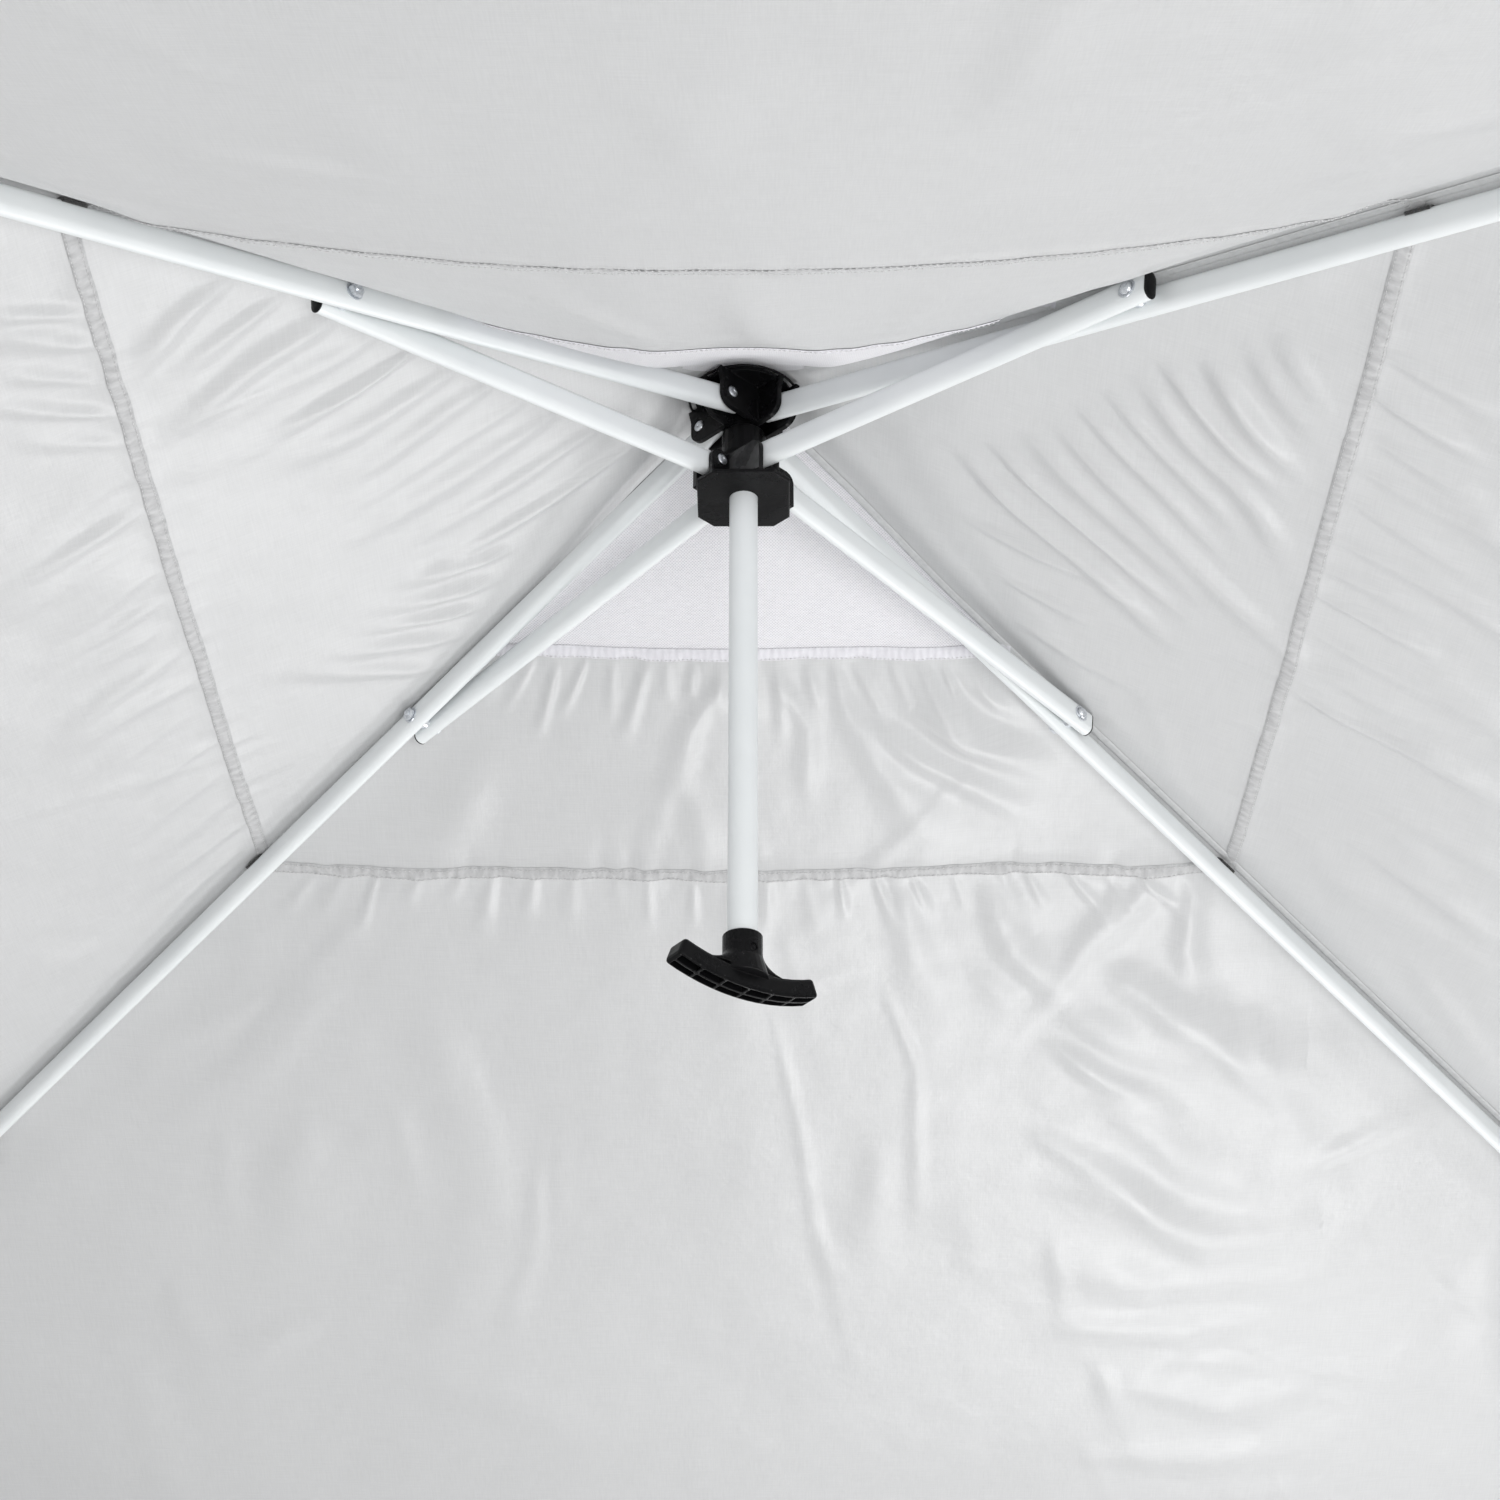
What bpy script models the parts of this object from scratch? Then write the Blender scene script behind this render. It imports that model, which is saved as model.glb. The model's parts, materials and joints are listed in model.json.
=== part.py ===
"""A 3 m square pop up canopy on a centre-hub folding frame.

Frame: metres, +Z up, origin on the ground under the hub. The four corners stand at 45, 135, 225
and 315 degrees. Each corner has its own directions: u runs outward from the hub, v is u turned 90
degrees anticlockwise seen from above, and z is up.
"""

import math

import bmesh
import bpy
from mathutils import Matrix, Vector

# Driving dimensions.
HUB_Z = 2.60  # height of the hinge of the inner ribs
EAVE_HALF = 1.50  # half of the roof's side
RIB_SLOPE = math.radians(17)  # below the horizontal
CORNERS = (1, 2, 3, 4)
GAP = 0.0003  # between pieces that touch
VALANCE_DROP = 0.25
CLOTH = 0.003

# Flat-oval tube of the ribs and struts.
RIB_DEPTH = 0.022
RIB_WIDTH = 0.012
RIB_WALL = 0.0012
RIB_SIDE = 0.008  # inner ribs sit at +v, struts and outer ribs at -v
RIB_OVERHANG = 0.018  # tube past its middle pivot

# Hub and slider.
PIVOT_U = 0.031  # from the axis to the hub's hinges
SLIDER_PIVOT_U = 0.0265  # from the axis to the slider's hinges
SLIDER_DROP = 0.055  # from the hub's hinges down to the slider's
HUB_DISC_R = 0.039
HUB_DISC_Z = 0.019  # underside of the disc above the hub's hinges
HUB_CORE_R = 0.0142
NECK_R = 0.0172
NECK_WAIST_R = 0.0155  # beside the struts' ends
NECK_SHOULDER = -0.041
NECK_TOP = -0.017
PLATE_HALF = 0.036
PLATE_CHAMFER = 0.0125
PLATE_THICK = 0.003
PLATE_TOP = -0.0755
EAR_THICK = 0.0046
SLOT = 0.013
EAR_U = 0.041
SLIDER_EAR_U = 0.0365
SCREW_R = 0.0025
SCREW_BITE = 0.003  # how far a screw's tip goes into the far ear
BOLT_R = 0.003
BOLT_REACH = 0.375  # along the inner rib from its hinge to the strut's bolt

# Pull handle.
TUBE_R = 0.011
TUBE_WALL = 0.0015
TUBE_TOP = -0.032
TUBE_BOTTOM = -0.474
COLLAR_R = 0.0145
COLLAR_TOP = -0.4615
COLLAR_LENGTH = 0.030
GRIP_ANGLE = math.radians(36)
GRIP_HALF = 0.0565
GRIP_RADIUS = 0.16  # of the grip's bow
GRIP_DEPTH = 0.020
GRIP_HEIGHT = 0.015
GRIP_WALL = 0.0022
GRIP_CELLS = 6

# Corners and legs.
KNUCKLE_REACH = 1.07  # along the inner rib from its hinge to the knuckle
LEG_U = 2.056
CORNER_PIVOT_U = 2.018
LEG_SIZE = 0.025
LEG_WALL = 0.0012
INNER_LEG_SIZE = 0.020
LEG_BOTTOM = 0.90
INNER_LEG_TOP = 1.08
BRACKET_SIZE = 0.033
BRACKET_DEPTH = 0.075
BRACKET_TOP = 0.0035  # above the pin of the outer rib
BRACKET_CROWN = 0.005  # thickness of its closed top
RIB_NOSE = 0.009  # outer rib past the corner's pin
COLLAR_SIZE = 0.034
COLLAR_BELOW = 0.035  # below the outer leg's end
COLLAR_ABOVE = 0.045
BOSS_DEPTH = 0.006
FOOT_SIZE = 0.080
FOOT_THICK = 0.004
STAKE_HOLE_R = 0.005
STAKE_HOLE_SIDE = 0.026  # from the leg's axis along both sides of the foot
BUTTON_R = 0.006
BUTTON_BACK = 0.0017  # from the collar's face to the button's back

# Roof: the underside of the cloth stands this high over the ribs' centre line at the ridge.
RIDGE_CLEAR = 0.024
ROOF_HOLE = 0.055  # half side of the opening around the hub
MITRE = 0.001  # open between two slopes at a ridge
VENT_HALF = 0.225  # plan distance of the hem under the vent mesh
VENT_CAP_HALF = 0.33
VENT_CAP_LIFT = 0.028

RIB_FALL = math.tan(RIB_SLOPE)
ROOF_FALL = RIB_FALL * math.sqrt(2)
ROOF_Z = HUB_Z + RIDGE_CLEAR + RIB_FALL * PIVOT_U
CORNER_PIVOT_Z = HUB_Z - RIB_FALL * (CORNER_PIVOT_U - PIVOT_U)
OUTER_LENGTH = (CORNER_PIVOT_U - PIVOT_U) / math.cos(RIB_SLOPE) - KNUCKLE_REACH


def on_rib(reach):
    """The u and z of a point on the rib's centre line."""
    return PIVOT_U + reach * math.cos(RIB_SLOPE), HUB_Z - reach * math.sin(RIB_SLOPE)


BOLT_U, BOLT_Z = on_rib(BOLT_REACH)
KNUCKLE_U, KNUCKLE_Z = on_rib(KNUCKLE_REACH)
SLIDER_Z = HUB_Z - SLIDER_DROP
STRUT_LENGTH = math.hypot(BOLT_U - SLIDER_PIVOT_U, BOLT_Z - SLIDER_Z)
STRUT_SLOPE = math.atan2(SLIDER_Z - BOLT_Z, BOLT_U - SLIDER_PIVOT_U)


# --- placing and materials ---


def corner(number):
    """Turns a corner's u, v and z into the object's X, Y and Z."""
    return Matrix.Rotation(math.radians(45 + 90 * (number - 1)), 4, "Z")


def at(u=0.0, v=0.0, z=0.0, pitch=0.0):
    """A place in a corner's directions, with local X pitched down from u."""
    return Matrix.Translation((u, v, z)) @ Matrix.Rotation(pitch, 4, "Y")


def material(name, colour, roughness, metallic=0.0):
    made = bpy.data.materials.new(name)
    made.use_nodes = True
    shader = made.node_tree.nodes["Principled BSDF"]
    shader.inputs["Base Color"].default_value = (*colour, 1)
    shader.inputs["Roughness"].default_value = roughness
    shader.inputs["Metallic"].default_value = metallic
    return made


def finished(bm, name, look=None, place=None, guide=False):
    """Turns a bmesh into a named object. A guide only cuts or joins."""
    bmesh.ops.remove_doubles(bm, verts=bm.verts, dist=1e-6)
    bmesh.ops.recalc_face_normals(bm, faces=bm.faces)
    mesh = bpy.data.meshes.new(name)
    bm.to_mesh(mesh)
    bm.free()
    made = bpy.data.objects.new(name, mesh)
    bpy.context.collection.objects.link(made)
    made.matrix_world = place or Matrix()
    if guide:
        made.hide_render = True
        made.display_type = "WIRE"
    else:
        mesh.materials.append(look)
        mesh.shade_smooth()
        mesh.set_sharp_from_angle(angle=math.radians(35))
    return made


def copied(source, name, place):
    """The same mesh and modifiers under another name, at another place."""
    made = source.copy()
    made.name = name
    bpy.context.collection.objects.link(made)
    made.matrix_world = place
    return made


def boolean(obj, guide, operation):
    made = obj.modifiers.new(operation.title(), "BOOLEAN")
    made.operation = operation
    made.object = guide
    guide.parent = obj
    guide.matrix_parent_inverse = obj.matrix_world.inverted()
    return made


def baked(obj):
    """Applies the modifiers, so that copies share one finished mesh."""
    bpy.context.view_layer.update()
    shape = obj.evaluated_get(bpy.context.evaluated_depsgraph_get())
    mesh = bpy.data.meshes.new_from_object(shape)
    obj.modifiers.clear()
    obj.data = mesh
    return obj


# --- outlines and solids ---


def arc(centre, radius, start, end, steps):
    """Points on an arc, angles in degrees."""
    turns = [math.radians(start + (end - start) * i / steps) for i in range(steps + 1)]
    return [(centre[0] + radius * math.cos(t), centre[1] + radius * math.sin(t)) for t in turns]


def oval(width, depth, steps=6):
    """A flat-oval outline: flat sides at plus and minus half the width, round top and bottom."""
    radius = width / 2
    rise = depth / 2 - radius
    return arc((0, rise), radius, 0, 180, steps) + arc((0, -rise), radius, 180, 360, steps)


def square(size):
    half = size / 2
    return [(-half, -half), (half, -half), (half, half), (-half, half)]


def loop_of(bm, outline, place):
    return [bm.verts.new(place(p)) for p in outline]


def bridge(bm, first, second):
    count = len(first)
    for i in range(count):
        j = (i + 1) % count
        bm.faces.new((first[i], first[j], second[j], second[i]))


def prism(outline, start, end, place):
    """A solid with one outline. place(point, along) gives the 3-D point."""
    bm = bmesh.new()
    ends = [loop_of(bm, outline, lambda p, s=s: place(p, s)) for s in (start, end)]
    bridge(bm, *ends)
    for ring in ends:
        bm.faces.new(ring)
    return bm


def hollow(outer, inner, start, end, place):
    """A tube with open ends."""
    bm = bmesh.new()
    rings = [
        [loop_of(bm, outline, lambda p, s=s: place(p, s)) for s in (start, end)]
        for outline in (outer, inner)
    ]
    for ends in rings:
        bridge(bm, *ends)
    for side in (0, 1):
        bridge(bm, rings[0][side], rings[1][side])
    return bm


def along_x(point, x):
    return (x, point[0], point[1])


def along_y(point, y):
    return (point[0], y, point[1])


def along_z(point, z):
    return (point[0], point[1], z)


def turned(profile, segments=24, axis="Z"):
    """A solid of revolution. The profile is (radius, height) from one end to the other."""
    bm = bmesh.new()
    swing = Matrix() if axis == "Z" else Matrix.Rotation(-math.pi / 2, 4, "X")
    rings = []
    for radius, height in profile:
        if radius < 1e-9:
            rings.append([bm.verts.new(swing @ Vector((0, 0, height)))])
            continue
        points = arc((0, 0), radius, 0, 360 * (1 - 1 / segments), segments - 1)
        rings.append([bm.verts.new(swing @ Vector((*p, height))) for p in points])
    for low, high in zip(rings, rings[1:]):
        if len(low) == 1 or len(high) == 1:
            tip, ring = (low, high) if len(low) == 1 else (high, low)
            for i in range(segments):
                bm.faces.new((tip[0], ring[i], ring[(i + 1) % segments]))
        else:
            bridge(bm, low, high)
    return bm


def pipe(outer, inner, bottom, top, segments=24):
    """A round tube with open ends."""
    circle = [arc((0, 0), r, 0, 360 * (1 - 1 / segments), segments - 1) for r in (outer, inner)]
    return hollow(circle[0], circle[1], bottom, top, along_z)


def rod_guide(radius, start, end, place, name, segments=16):
    """A round cutter along v."""
    outline = arc((0, 0), radius, 0, 360 * (1 - 1 / segments), segments - 1)
    return finished(prism(outline, start, end, along_y), name, place=place, guide=True)


def merged(bm, other):
    """Adds the faces of one bmesh to another, as a separate shell."""
    mesh = bpy.data.meshes.new("scratch")
    other.to_mesh(mesh)
    other.free()
    bm.from_mesh(mesh)
    bpy.data.meshes.remove(mesh)
    return bm


# --- hub, slider and handle ---


def ear_pair(side, outline):
    """The two ears of one clevis around a slot centred on v = side."""
    edges = (side - SLOT / 2 - EAR_THICK, side + SLOT / 2)
    return [prism(outline, edge, edge + EAR_THICK, along_y) for edge in edges]


def joined_from(core, pieces, name, look):
    """One body from a core and the pieces that grow out of it."""
    body = finished(core, name, look)
    for index, (bm, place) in enumerate(pieces):
        guide = finished(bm, f"{name}_join_{index}", place=place, guide=True)
        boolean(body, guide, "UNION")
    return body


def clevis_pieces(side, outline):
    return [(ear, corner(number)) for number in CORNERS for ear in ear_pair(side, outline)]


def screw_holes(body, u, side, z, name):
    """Holes for the clevis screws, through the near ear and blind in the far one."""
    for number in CORNERS:
        place = corner(number) @ at(u, side, z)
        start = -SLOT / 2 - SCREW_BITE - GAP
        hole = rod_guide(SCREW_R + GAP, start, SLOT, place, f"{name}_hole_{number}")
        boolean(body, hole, "DIFFERENCE")


def hub_ear_outline():
    """Side view of a hub ear: flared top, round lower corner, level underside."""
    radius = 0.012
    foot = arc((EAR_U - radius, -0.0025), radius, 0, -90, 8)
    top = HUB_DISC_Z + 0.001
    return [(0.0, top), (EAR_U + 0.003, top), (EAR_U, 0.008)] + foot + [(0.0, -0.0145)]


def slider_ear_outline():
    """Side view of a slider ear: stands on the plate and rounds off over the screw."""
    radius = 0.009
    base = PLATE_TOP - 0.001
    crown = arc((SLIDER_EAR_U - radius, -SLIDER_DROP), radius, 0, 90, 6)
    return [(0.0, base), (SLIDER_EAR_U, base)] + crown + [(0.0, radius - SLIDER_DROP)]


def hub(look):
    disc = [(0, HUB_DISC_Z), (HUB_DISC_R, HUB_DISC_Z), (HUB_DISC_R, HUB_DISC_Z + 0.002)]
    disc += [(HUB_DISC_R - 0.001, HUB_DISC_Z + 0.003), (0, HUB_DISC_Z + 0.003)]
    core = [(0, NECK_TOP + GAP), (HUB_CORE_R, NECK_TOP + GAP), (HUB_CORE_R, HUB_DISC_Z + 0.001)]
    core += [(0, HUB_DISC_Z + 0.001)]
    pieces = [(turned(core), None)] + clevis_pieces(RIB_SIDE, hub_ear_outline())
    body = joined_from(turned(disc, 48), pieces, "hub_body", look)
    screw_holes(body, PIVOT_U, RIB_SIDE, 0.0, "hub")
    body.location.z = HUB_Z
    return body


def hub_cap(look):
    base = HUB_DISC_Z + 0.003 + GAP
    dome = [(0, base), (HUB_DISC_R - 0.002, base), (HUB_DISC_R - 0.002, base + 0.0015)]
    dome += arc((0, base - 0.050), 0.060, 55, 90, 5)
    dome[-1] = (0, dome[-1][1])
    return finished(turned(dome, 32), "hub_cap", look, at(z=HUB_Z))


def plate_outline():
    reach = PLATE_HALF - PLATE_CHAMFER
    points = []
    for turn in range(4):
        spin = Matrix.Rotation(turn * math.pi / 2, 2)
        points += [tuple(spin @ Vector((PLATE_HALF, y))) for y in (-reach, reach)]
    return points


def slider(look):
    plate = prism(plate_outline(), PLATE_TOP - PLATE_THICK, PLATE_TOP, along_z)
    base = PLATE_TOP - 0.001
    neck = [(0, base), (NECK_WAIST_R, base), (NECK_WAIST_R, NECK_SHOULDER)]
    neck += [(NECK_R, NECK_SHOULDER + 0.002), (NECK_R, NECK_TOP), (0, NECK_TOP)]
    pieces = [(turned(neck), None)] + clevis_pieces(-RIB_SIDE, slider_ear_outline())
    body = joined_from(plate, pieces, "slider_body", look)
    screw_holes(body, SLIDER_PIVOT_U, -RIB_SIDE, -SLIDER_DROP, "slider")
    roof = TUBE_TOP + 0.002
    socket = turned([(0, -0.1), (TUBE_R + GAP, -0.1), (TUBE_R + GAP, roof), (0, roof)])
    boolean(body, finished(socket, "slider_socket", guide=True), "DIFFERENCE")
    body.location.z = HUB_Z
    return body


def screw(name, look, place):
    """Low round head outside the near ear, shank across the slot into the far ear."""
    face = SLOT / 2 + EAR_THICK + GAP
    tip = -SLOT / 2 - SCREW_BITE
    profile = [(0, tip), (SCREW_R, tip), (SCREW_R, face)]
    profile += [(0.0046, face), (0.0046, face + 0.0006), (0.0030, face + 0.0016), (0, face + 0.0018)]
    return finished(turned(profile, 16, "Y"), name, look, place)


def handle_tube(look):
    tube = pipe(TUBE_R, TUBE_R - TUBE_WALL, HUB_Z + TUBE_BOTTOM, HUB_Z + TUBE_TOP)
    return finished(tube, "handle_tube", look)


def grip_point(s, y, drop):
    """A point on the bowed grip: s along it, y across it, drop below its top line."""
    turn = s / GRIP_RADIUS
    radius = GRIP_RADIUS + drop
    return (radius * math.sin(turn), y, GRIP_RADIUS - radius * math.cos(turn))


def grip_solid(half, depth, top, bottom, steps=12):
    """A bar that follows the grip's bow."""
    bm = bmesh.new()
    rings = []
    for i in range(steps + 1):
        s = -half + 2 * half * i / steps
        outline = [(-depth / 2, top), (depth / 2, top), (depth / 2, bottom), (-depth / 2, bottom)]
        rings.append([bm.verts.new(grip_point(s, y, drop)) for y, drop in outline])
    for first, second in zip(rings, rings[1:]):
        bridge(bm, first, second)
    bm.faces.new(rings[0])
    bm.faces.new(rings[-1])
    return bm


def grip_cells():
    """The open pockets in the grip's underside: two rows of cells between thin walls."""
    cells = bmesh.new()
    pitch = 2 * (GRIP_HALF - GRIP_WALL) / GRIP_CELLS
    width = GRIP_DEPTH / 2 - 1.5 * GRIP_WALL
    for cell in range(GRIP_CELLS):
        centre = (cell - (GRIP_CELLS - 1) / 2) * pitch
        for row in (-1, 1):
            box = prism(square(pitch - GRIP_WALL), GRIP_WALL, GRIP_HEIGHT + 0.01, along_z)
            for vert in box.verts:
                across = row * (GRIP_WALL / 2 + width / 2) + vert.co.y * width / (pitch - GRIP_WALL)
                vert.co = grip_point(centre + vert.co.x, across, vert.co.z)
            cells = merged(cells, box)
    return cells


def handle_grip(look):
    """Collar, flared neck and bowed grip bar, hollow underneath, with a socket for the tube."""
    collar = [(0, -0.004), (0.019, -0.003), (0.0165, 0.006), (COLLAR_R, 0.012)]
    collar += [(COLLAR_R, COLLAR_LENGTH), (0, COLLAR_LENGTH)]
    floor = 0.002
    socket = [(0, floor), (TUBE_R + GAP, floor), (TUBE_R + GAP, 0.05), (0, 0.05)]
    body = finished(grip_solid(GRIP_HALF, GRIP_DEPTH, 0, GRIP_HEIGHT), "handle_grip", look)
    rounding = body.modifiers.new("Rounding", "BEVEL")
    rounding.width = 0.003
    rounding.segments = 2
    for bm, name, operation in (
        (turned(collar, 24), "grip_collar", "UNION"),
        (grip_cells(), "grip_cells", "DIFFERENCE"),
        (turned(socket), "grip_socket", "DIFFERENCE"),
    ):
        boolean(body, finished(bm, name, guide=True), operation)
    base = HUB_Z + COLLAR_TOP - COLLAR_LENGTH
    body.matrix_world = Matrix.Translation((0, 0, base)) @ Matrix.Rotation(GRIP_ANGLE, 4, "Z")
    return body


# --- ribs, struts and their pins ---


def rib_tube(name, look, start, end, holes):
    """A flat-oval tube along local X, drilled across at each (reach, radius)."""
    outer = oval(RIB_WIDTH, RIB_DEPTH)
    inner = oval(RIB_WIDTH - 2 * RIB_WALL, RIB_DEPTH - 2 * RIB_WALL)
    tube = finished(hollow(outer, inner, start, end, along_x), name, look)
    for index, (reach, radius) in enumerate(holes):
        place = Matrix.Translation((reach, 0, 0))
        drill = rod_guide(radius, -RIB_WIDTH, RIB_WIDTH, place, f"{name}_drill_{index}")
        boolean(tube, drill, "DIFFERENCE")
    return baked(tube)


def knuckle(name, look):
    """Turned pin of the rib's middle joint: heads outside, spacer collar between the two tubes."""
    side = RIB_SIDE + RIB_WIDTH / 2
    inner_face = RIB_SIDE - RIB_WIDTH / 2
    half = [(0.006, side + 0.003), (0.0075, side + 0.002), (0.0075, side + GAP), (BOLT_R, side + GAP)]
    half += [(BOLT_R, inner_face - GAP), (0.010, inner_face - GAP)]
    other = [(radius, -height) for radius, height in reversed(half)]
    profile = [(0, side + 0.003)] + half + other + [(0, -side - 0.003)]
    return finished(turned(profile, 20, "Y"), name, look)


def strut_bolt(name, look):
    """Bolt through the strut's end: washer and dome head outside, spacer towards the rib."""
    outside = -RIB_WIDTH / 2 - GAP
    inside = RIB_WIDTH / 2 + GAP
    profile = [(0, inside + 0.0032), (0.0065, inside + 0.0032), (0.0065, inside), (BOLT_R, inside)]
    profile += [(BOLT_R, outside), (0.0065, outside), (0.0065, outside - 0.001)]
    profile += [(0.0052, outside - 0.001), (0.0050, outside - 0.0035), (0, outside - 0.0048)]
    return finished(turned(profile, 20, "Y"), name, look)


def ribs(white, black, zinc):
    """All tubes and pins of the roof frame, one set for each corner."""
    hinge, bolt = SCREW_R + GAP, BOLT_R + GAP
    inner = rib_tube("inner_rib_1", white, -0.012, KNUCKLE_REACH + RIB_OVERHANG,
                     [(0, hinge), (KNUCKLE_REACH, bolt)])
    outer = rib_tube("outer_rib_1", white, -RIB_OVERHANG, OUTER_LENGTH + RIB_NOSE,
                     [(0, bolt), (OUTER_LENGTH, bolt)])
    strut = rib_tube("strut_1", white, -0.005, STRUT_LENGTH + 0.015,
                     [(0, hinge), (STRUT_LENGTH, bolt)])
    pin = knuckle("knuckle_1", black)
    fastener = strut_bolt("strut_bolt_1", zinc)
    strut_end = at(BOLT_U, -RIB_SIDE, BOLT_Z, STRUT_SLOPE)
    sets = (
        ("inner_rib", inner, at(PIVOT_U, RIB_SIDE, HUB_Z, RIB_SLOPE)),
        ("outer_rib", outer, at(KNUCKLE_U, -RIB_SIDE, KNUCKLE_Z, RIB_SLOPE)),
        ("strut", strut, at(SLIDER_PIVOT_U, -RIB_SIDE, SLIDER_Z, STRUT_SLOPE)),
        ("knuckle", pin, at(KNUCKLE_U, 0, KNUCKLE_Z, RIB_SLOPE)),
        ("strut_bolt", fastener, strut_end),
    )
    for kind, first, place in sets:
        for number in CORNERS:
            made = first if number == 1 else copied(first, f"{kind}_{number}", Matrix())
            made.matrix_world = corner(number) @ place


# --- corners and legs ---


def bracket_ear(edge):
    """One ear that holds the outer rib's end, from the bracket towards the hub."""
    centre = CORNER_PIVOT_U - LEG_U
    nose = arc((centre, 0.0), 0.009, 90, 270, 8)
    outline = nose + [(-0.012, -0.020), (0.0, -0.020), (0.0, 0.0)]
    outline += [(-0.012, 0.003)]
    return prism(outline, edge, edge + EAR_THICK, along_y)


def corner_bracket(name, look):
    """Cap over the leg's top with two ears and a pin. Local origin: leg's axis, pin's height."""
    turn = Matrix.Rotation(math.pi / 4, 4, "Z")
    block = prism(square(BRACKET_SIZE), BRACKET_TOP - BRACKET_DEPTH, BRACKET_TOP, along_z)
    body = finished(block, name, look)
    body.data.transform(turn)
    pin_half = SLOT / 2 + EAR_THICK - 0.001
    pin_outline = arc((0, 0), BOLT_R, 0, 337.5, 15)
    pin_place = at(CORNER_PIVOT_U - LEG_U, -RIB_SIDE)
    pieces = [
        (bracket_ear(-RIB_SIDE - SLOT / 2 - EAR_THICK), Matrix()),
        (bracket_ear(-RIB_SIDE + SLOT / 2), Matrix()),
        (prism(pin_outline, -pin_half, pin_half, along_y), pin_place),
    ]
    for index, (bm, place) in enumerate(pieces):
        boolean(body, finished(bm, f"bracket_join_{index}", place=place, guide=True), "UNION")
    bore = prism(square(LEG_SIZE + 2 * GAP), -0.2, BRACKET_TOP - BRACKET_CROWN, along_z)
    boolean(body, finished(bore, "bracket_bore", place=turn, guide=True), "DIFFERENCE")
    return baked(body)


def outward(x):
    """A place on local X with its own Z along that X."""
    return Matrix.Translation((x, 0, 0)) @ Matrix.Rotation(math.pi / 2, 4, "Y")


def leg_collar(name, look):
    """Collar: wide bore on the outer leg, narrow bore on the inner, boss for the button."""
    face = COLLAR_SIZE / 2
    body = finished(prism(square(COLLAR_SIZE), -COLLAR_BELOW, COLLAR_ABOVE, along_z), name, look)
    boss = [(face - 0.001, -0.018), (face + BOSS_DEPTH, -0.012)]
    boss += [(face + BOSS_DEPTH, 0.012), (face - 0.001, 0.018)]
    boolean(body, finished(prism(boss, -0.011, 0.011, along_y), "collar_boss", guide=True), "UNION")
    narrow = prism(square(INNER_LEG_SIZE + 0.001), -0.1, 0.0, along_z)
    wide = prism(square(LEG_SIZE + 2 * GAP), -GAP, 0.1, along_z)
    recess = turned([(0, 0), (BUTTON_R + GAP, 0), (BUTTON_R + GAP, 0.05), (0, 0.05)], 20)
    for bm, cutter, place in (
        (narrow, "collar_bore_narrow", None),
        (wide, "collar_bore_wide", None),
        (recess, "collar_recess", outward(face - 0.002)),
    ):
        boolean(body, finished(bm, cutter, place=place, guide=True), "DIFFERENCE")
    return baked(body)


def lock_button(name, look):
    """Domed push button. Local Z points out of the collar."""
    profile = [(0, 0.0), (BUTTON_R, 0.0), (BUTTON_R, 0.0075), (0.0045, 0.0093), (0, 0.0100)]
    return finished(turned(profile, 20), name, look)


def inner_leg(name, look):
    """Square tube on a foot plate with a stake hole in its outer corner."""
    foot = finished(prism(square(FOOT_SIZE), 0, FOOT_THICK, along_z), name, look)
    rounding = foot.modifiers.new("Corners", "BEVEL")
    rounding.width = 0.0015
    rounding.segments = 2
    outer, inner = square(INNER_LEG_SIZE), square(INNER_LEG_SIZE - 2 * LEG_WALL)
    tube = hollow(outer, inner, FOOT_THICK - 0.001, INNER_LEG_TOP, along_z)
    boolean(foot, finished(tube, "inner_leg_tube", guide=True), "UNION")
    hole = turned([(0, -0.01), (STAKE_HOLE_R, -0.01), (STAKE_HOLE_R, 0.02), (0, 0.02)], 20)
    place = Matrix.Translation((STAKE_HOLE_SIDE, STAKE_HOLE_SIDE, 0))
    boolean(foot, finished(hole, "stake_hole", place=place, guide=True), "DIFFERENCE")
    return baked(foot)


def legs(white, black, zinc):
    """Bracket, telescopic leg, collar and button for each corner."""
    outer, inner = square(LEG_SIZE), square(LEG_SIZE - 2 * LEG_WALL)
    leg_top = CORNER_PIVOT_Z + BRACKET_TOP - BRACKET_CROWN - GAP
    outer_tube = finished(hollow(outer, inner, LEG_BOTTOM, leg_top, along_z), "outer_leg_1", white)
    bracket = corner_bracket("corner_bracket_1", black)
    to_side = Matrix.Rotation(-math.pi / 4, 4, "Z")  # from the corner's u to a side's outward direction
    on_ground = at(LEG_U) @ to_side
    on_collar = at(LEG_U, 0, LEG_BOTTOM) @ to_side
    on_boss = on_collar @ outward(COLLAR_SIZE / 2 + BUTTON_BACK)
    sets = (
        ("corner_bracket", bracket, at(LEG_U, 0, CORNER_PIVOT_Z)),
        ("outer_leg", outer_tube, on_ground),
        ("inner_leg", inner_leg("inner_leg_1", zinc), on_ground),
        ("leg_collar", leg_collar("leg_collar_1", black), on_collar),
        ("lock_button", lock_button("lock_button_1", zinc), on_boss),
    )
    for kind, first, place in sets:
        for number in CORNERS:
            made = first if number == 1 else copied(first, f"{kind}_{number}", Matrix())
            made.matrix_world = corner(number) @ place


# --- roof ---


def roof_z(distance):
    """The height of the cloth's underside at a plan distance from the axis."""
    return ROOF_Z - ROOF_FALL * distance


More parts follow.
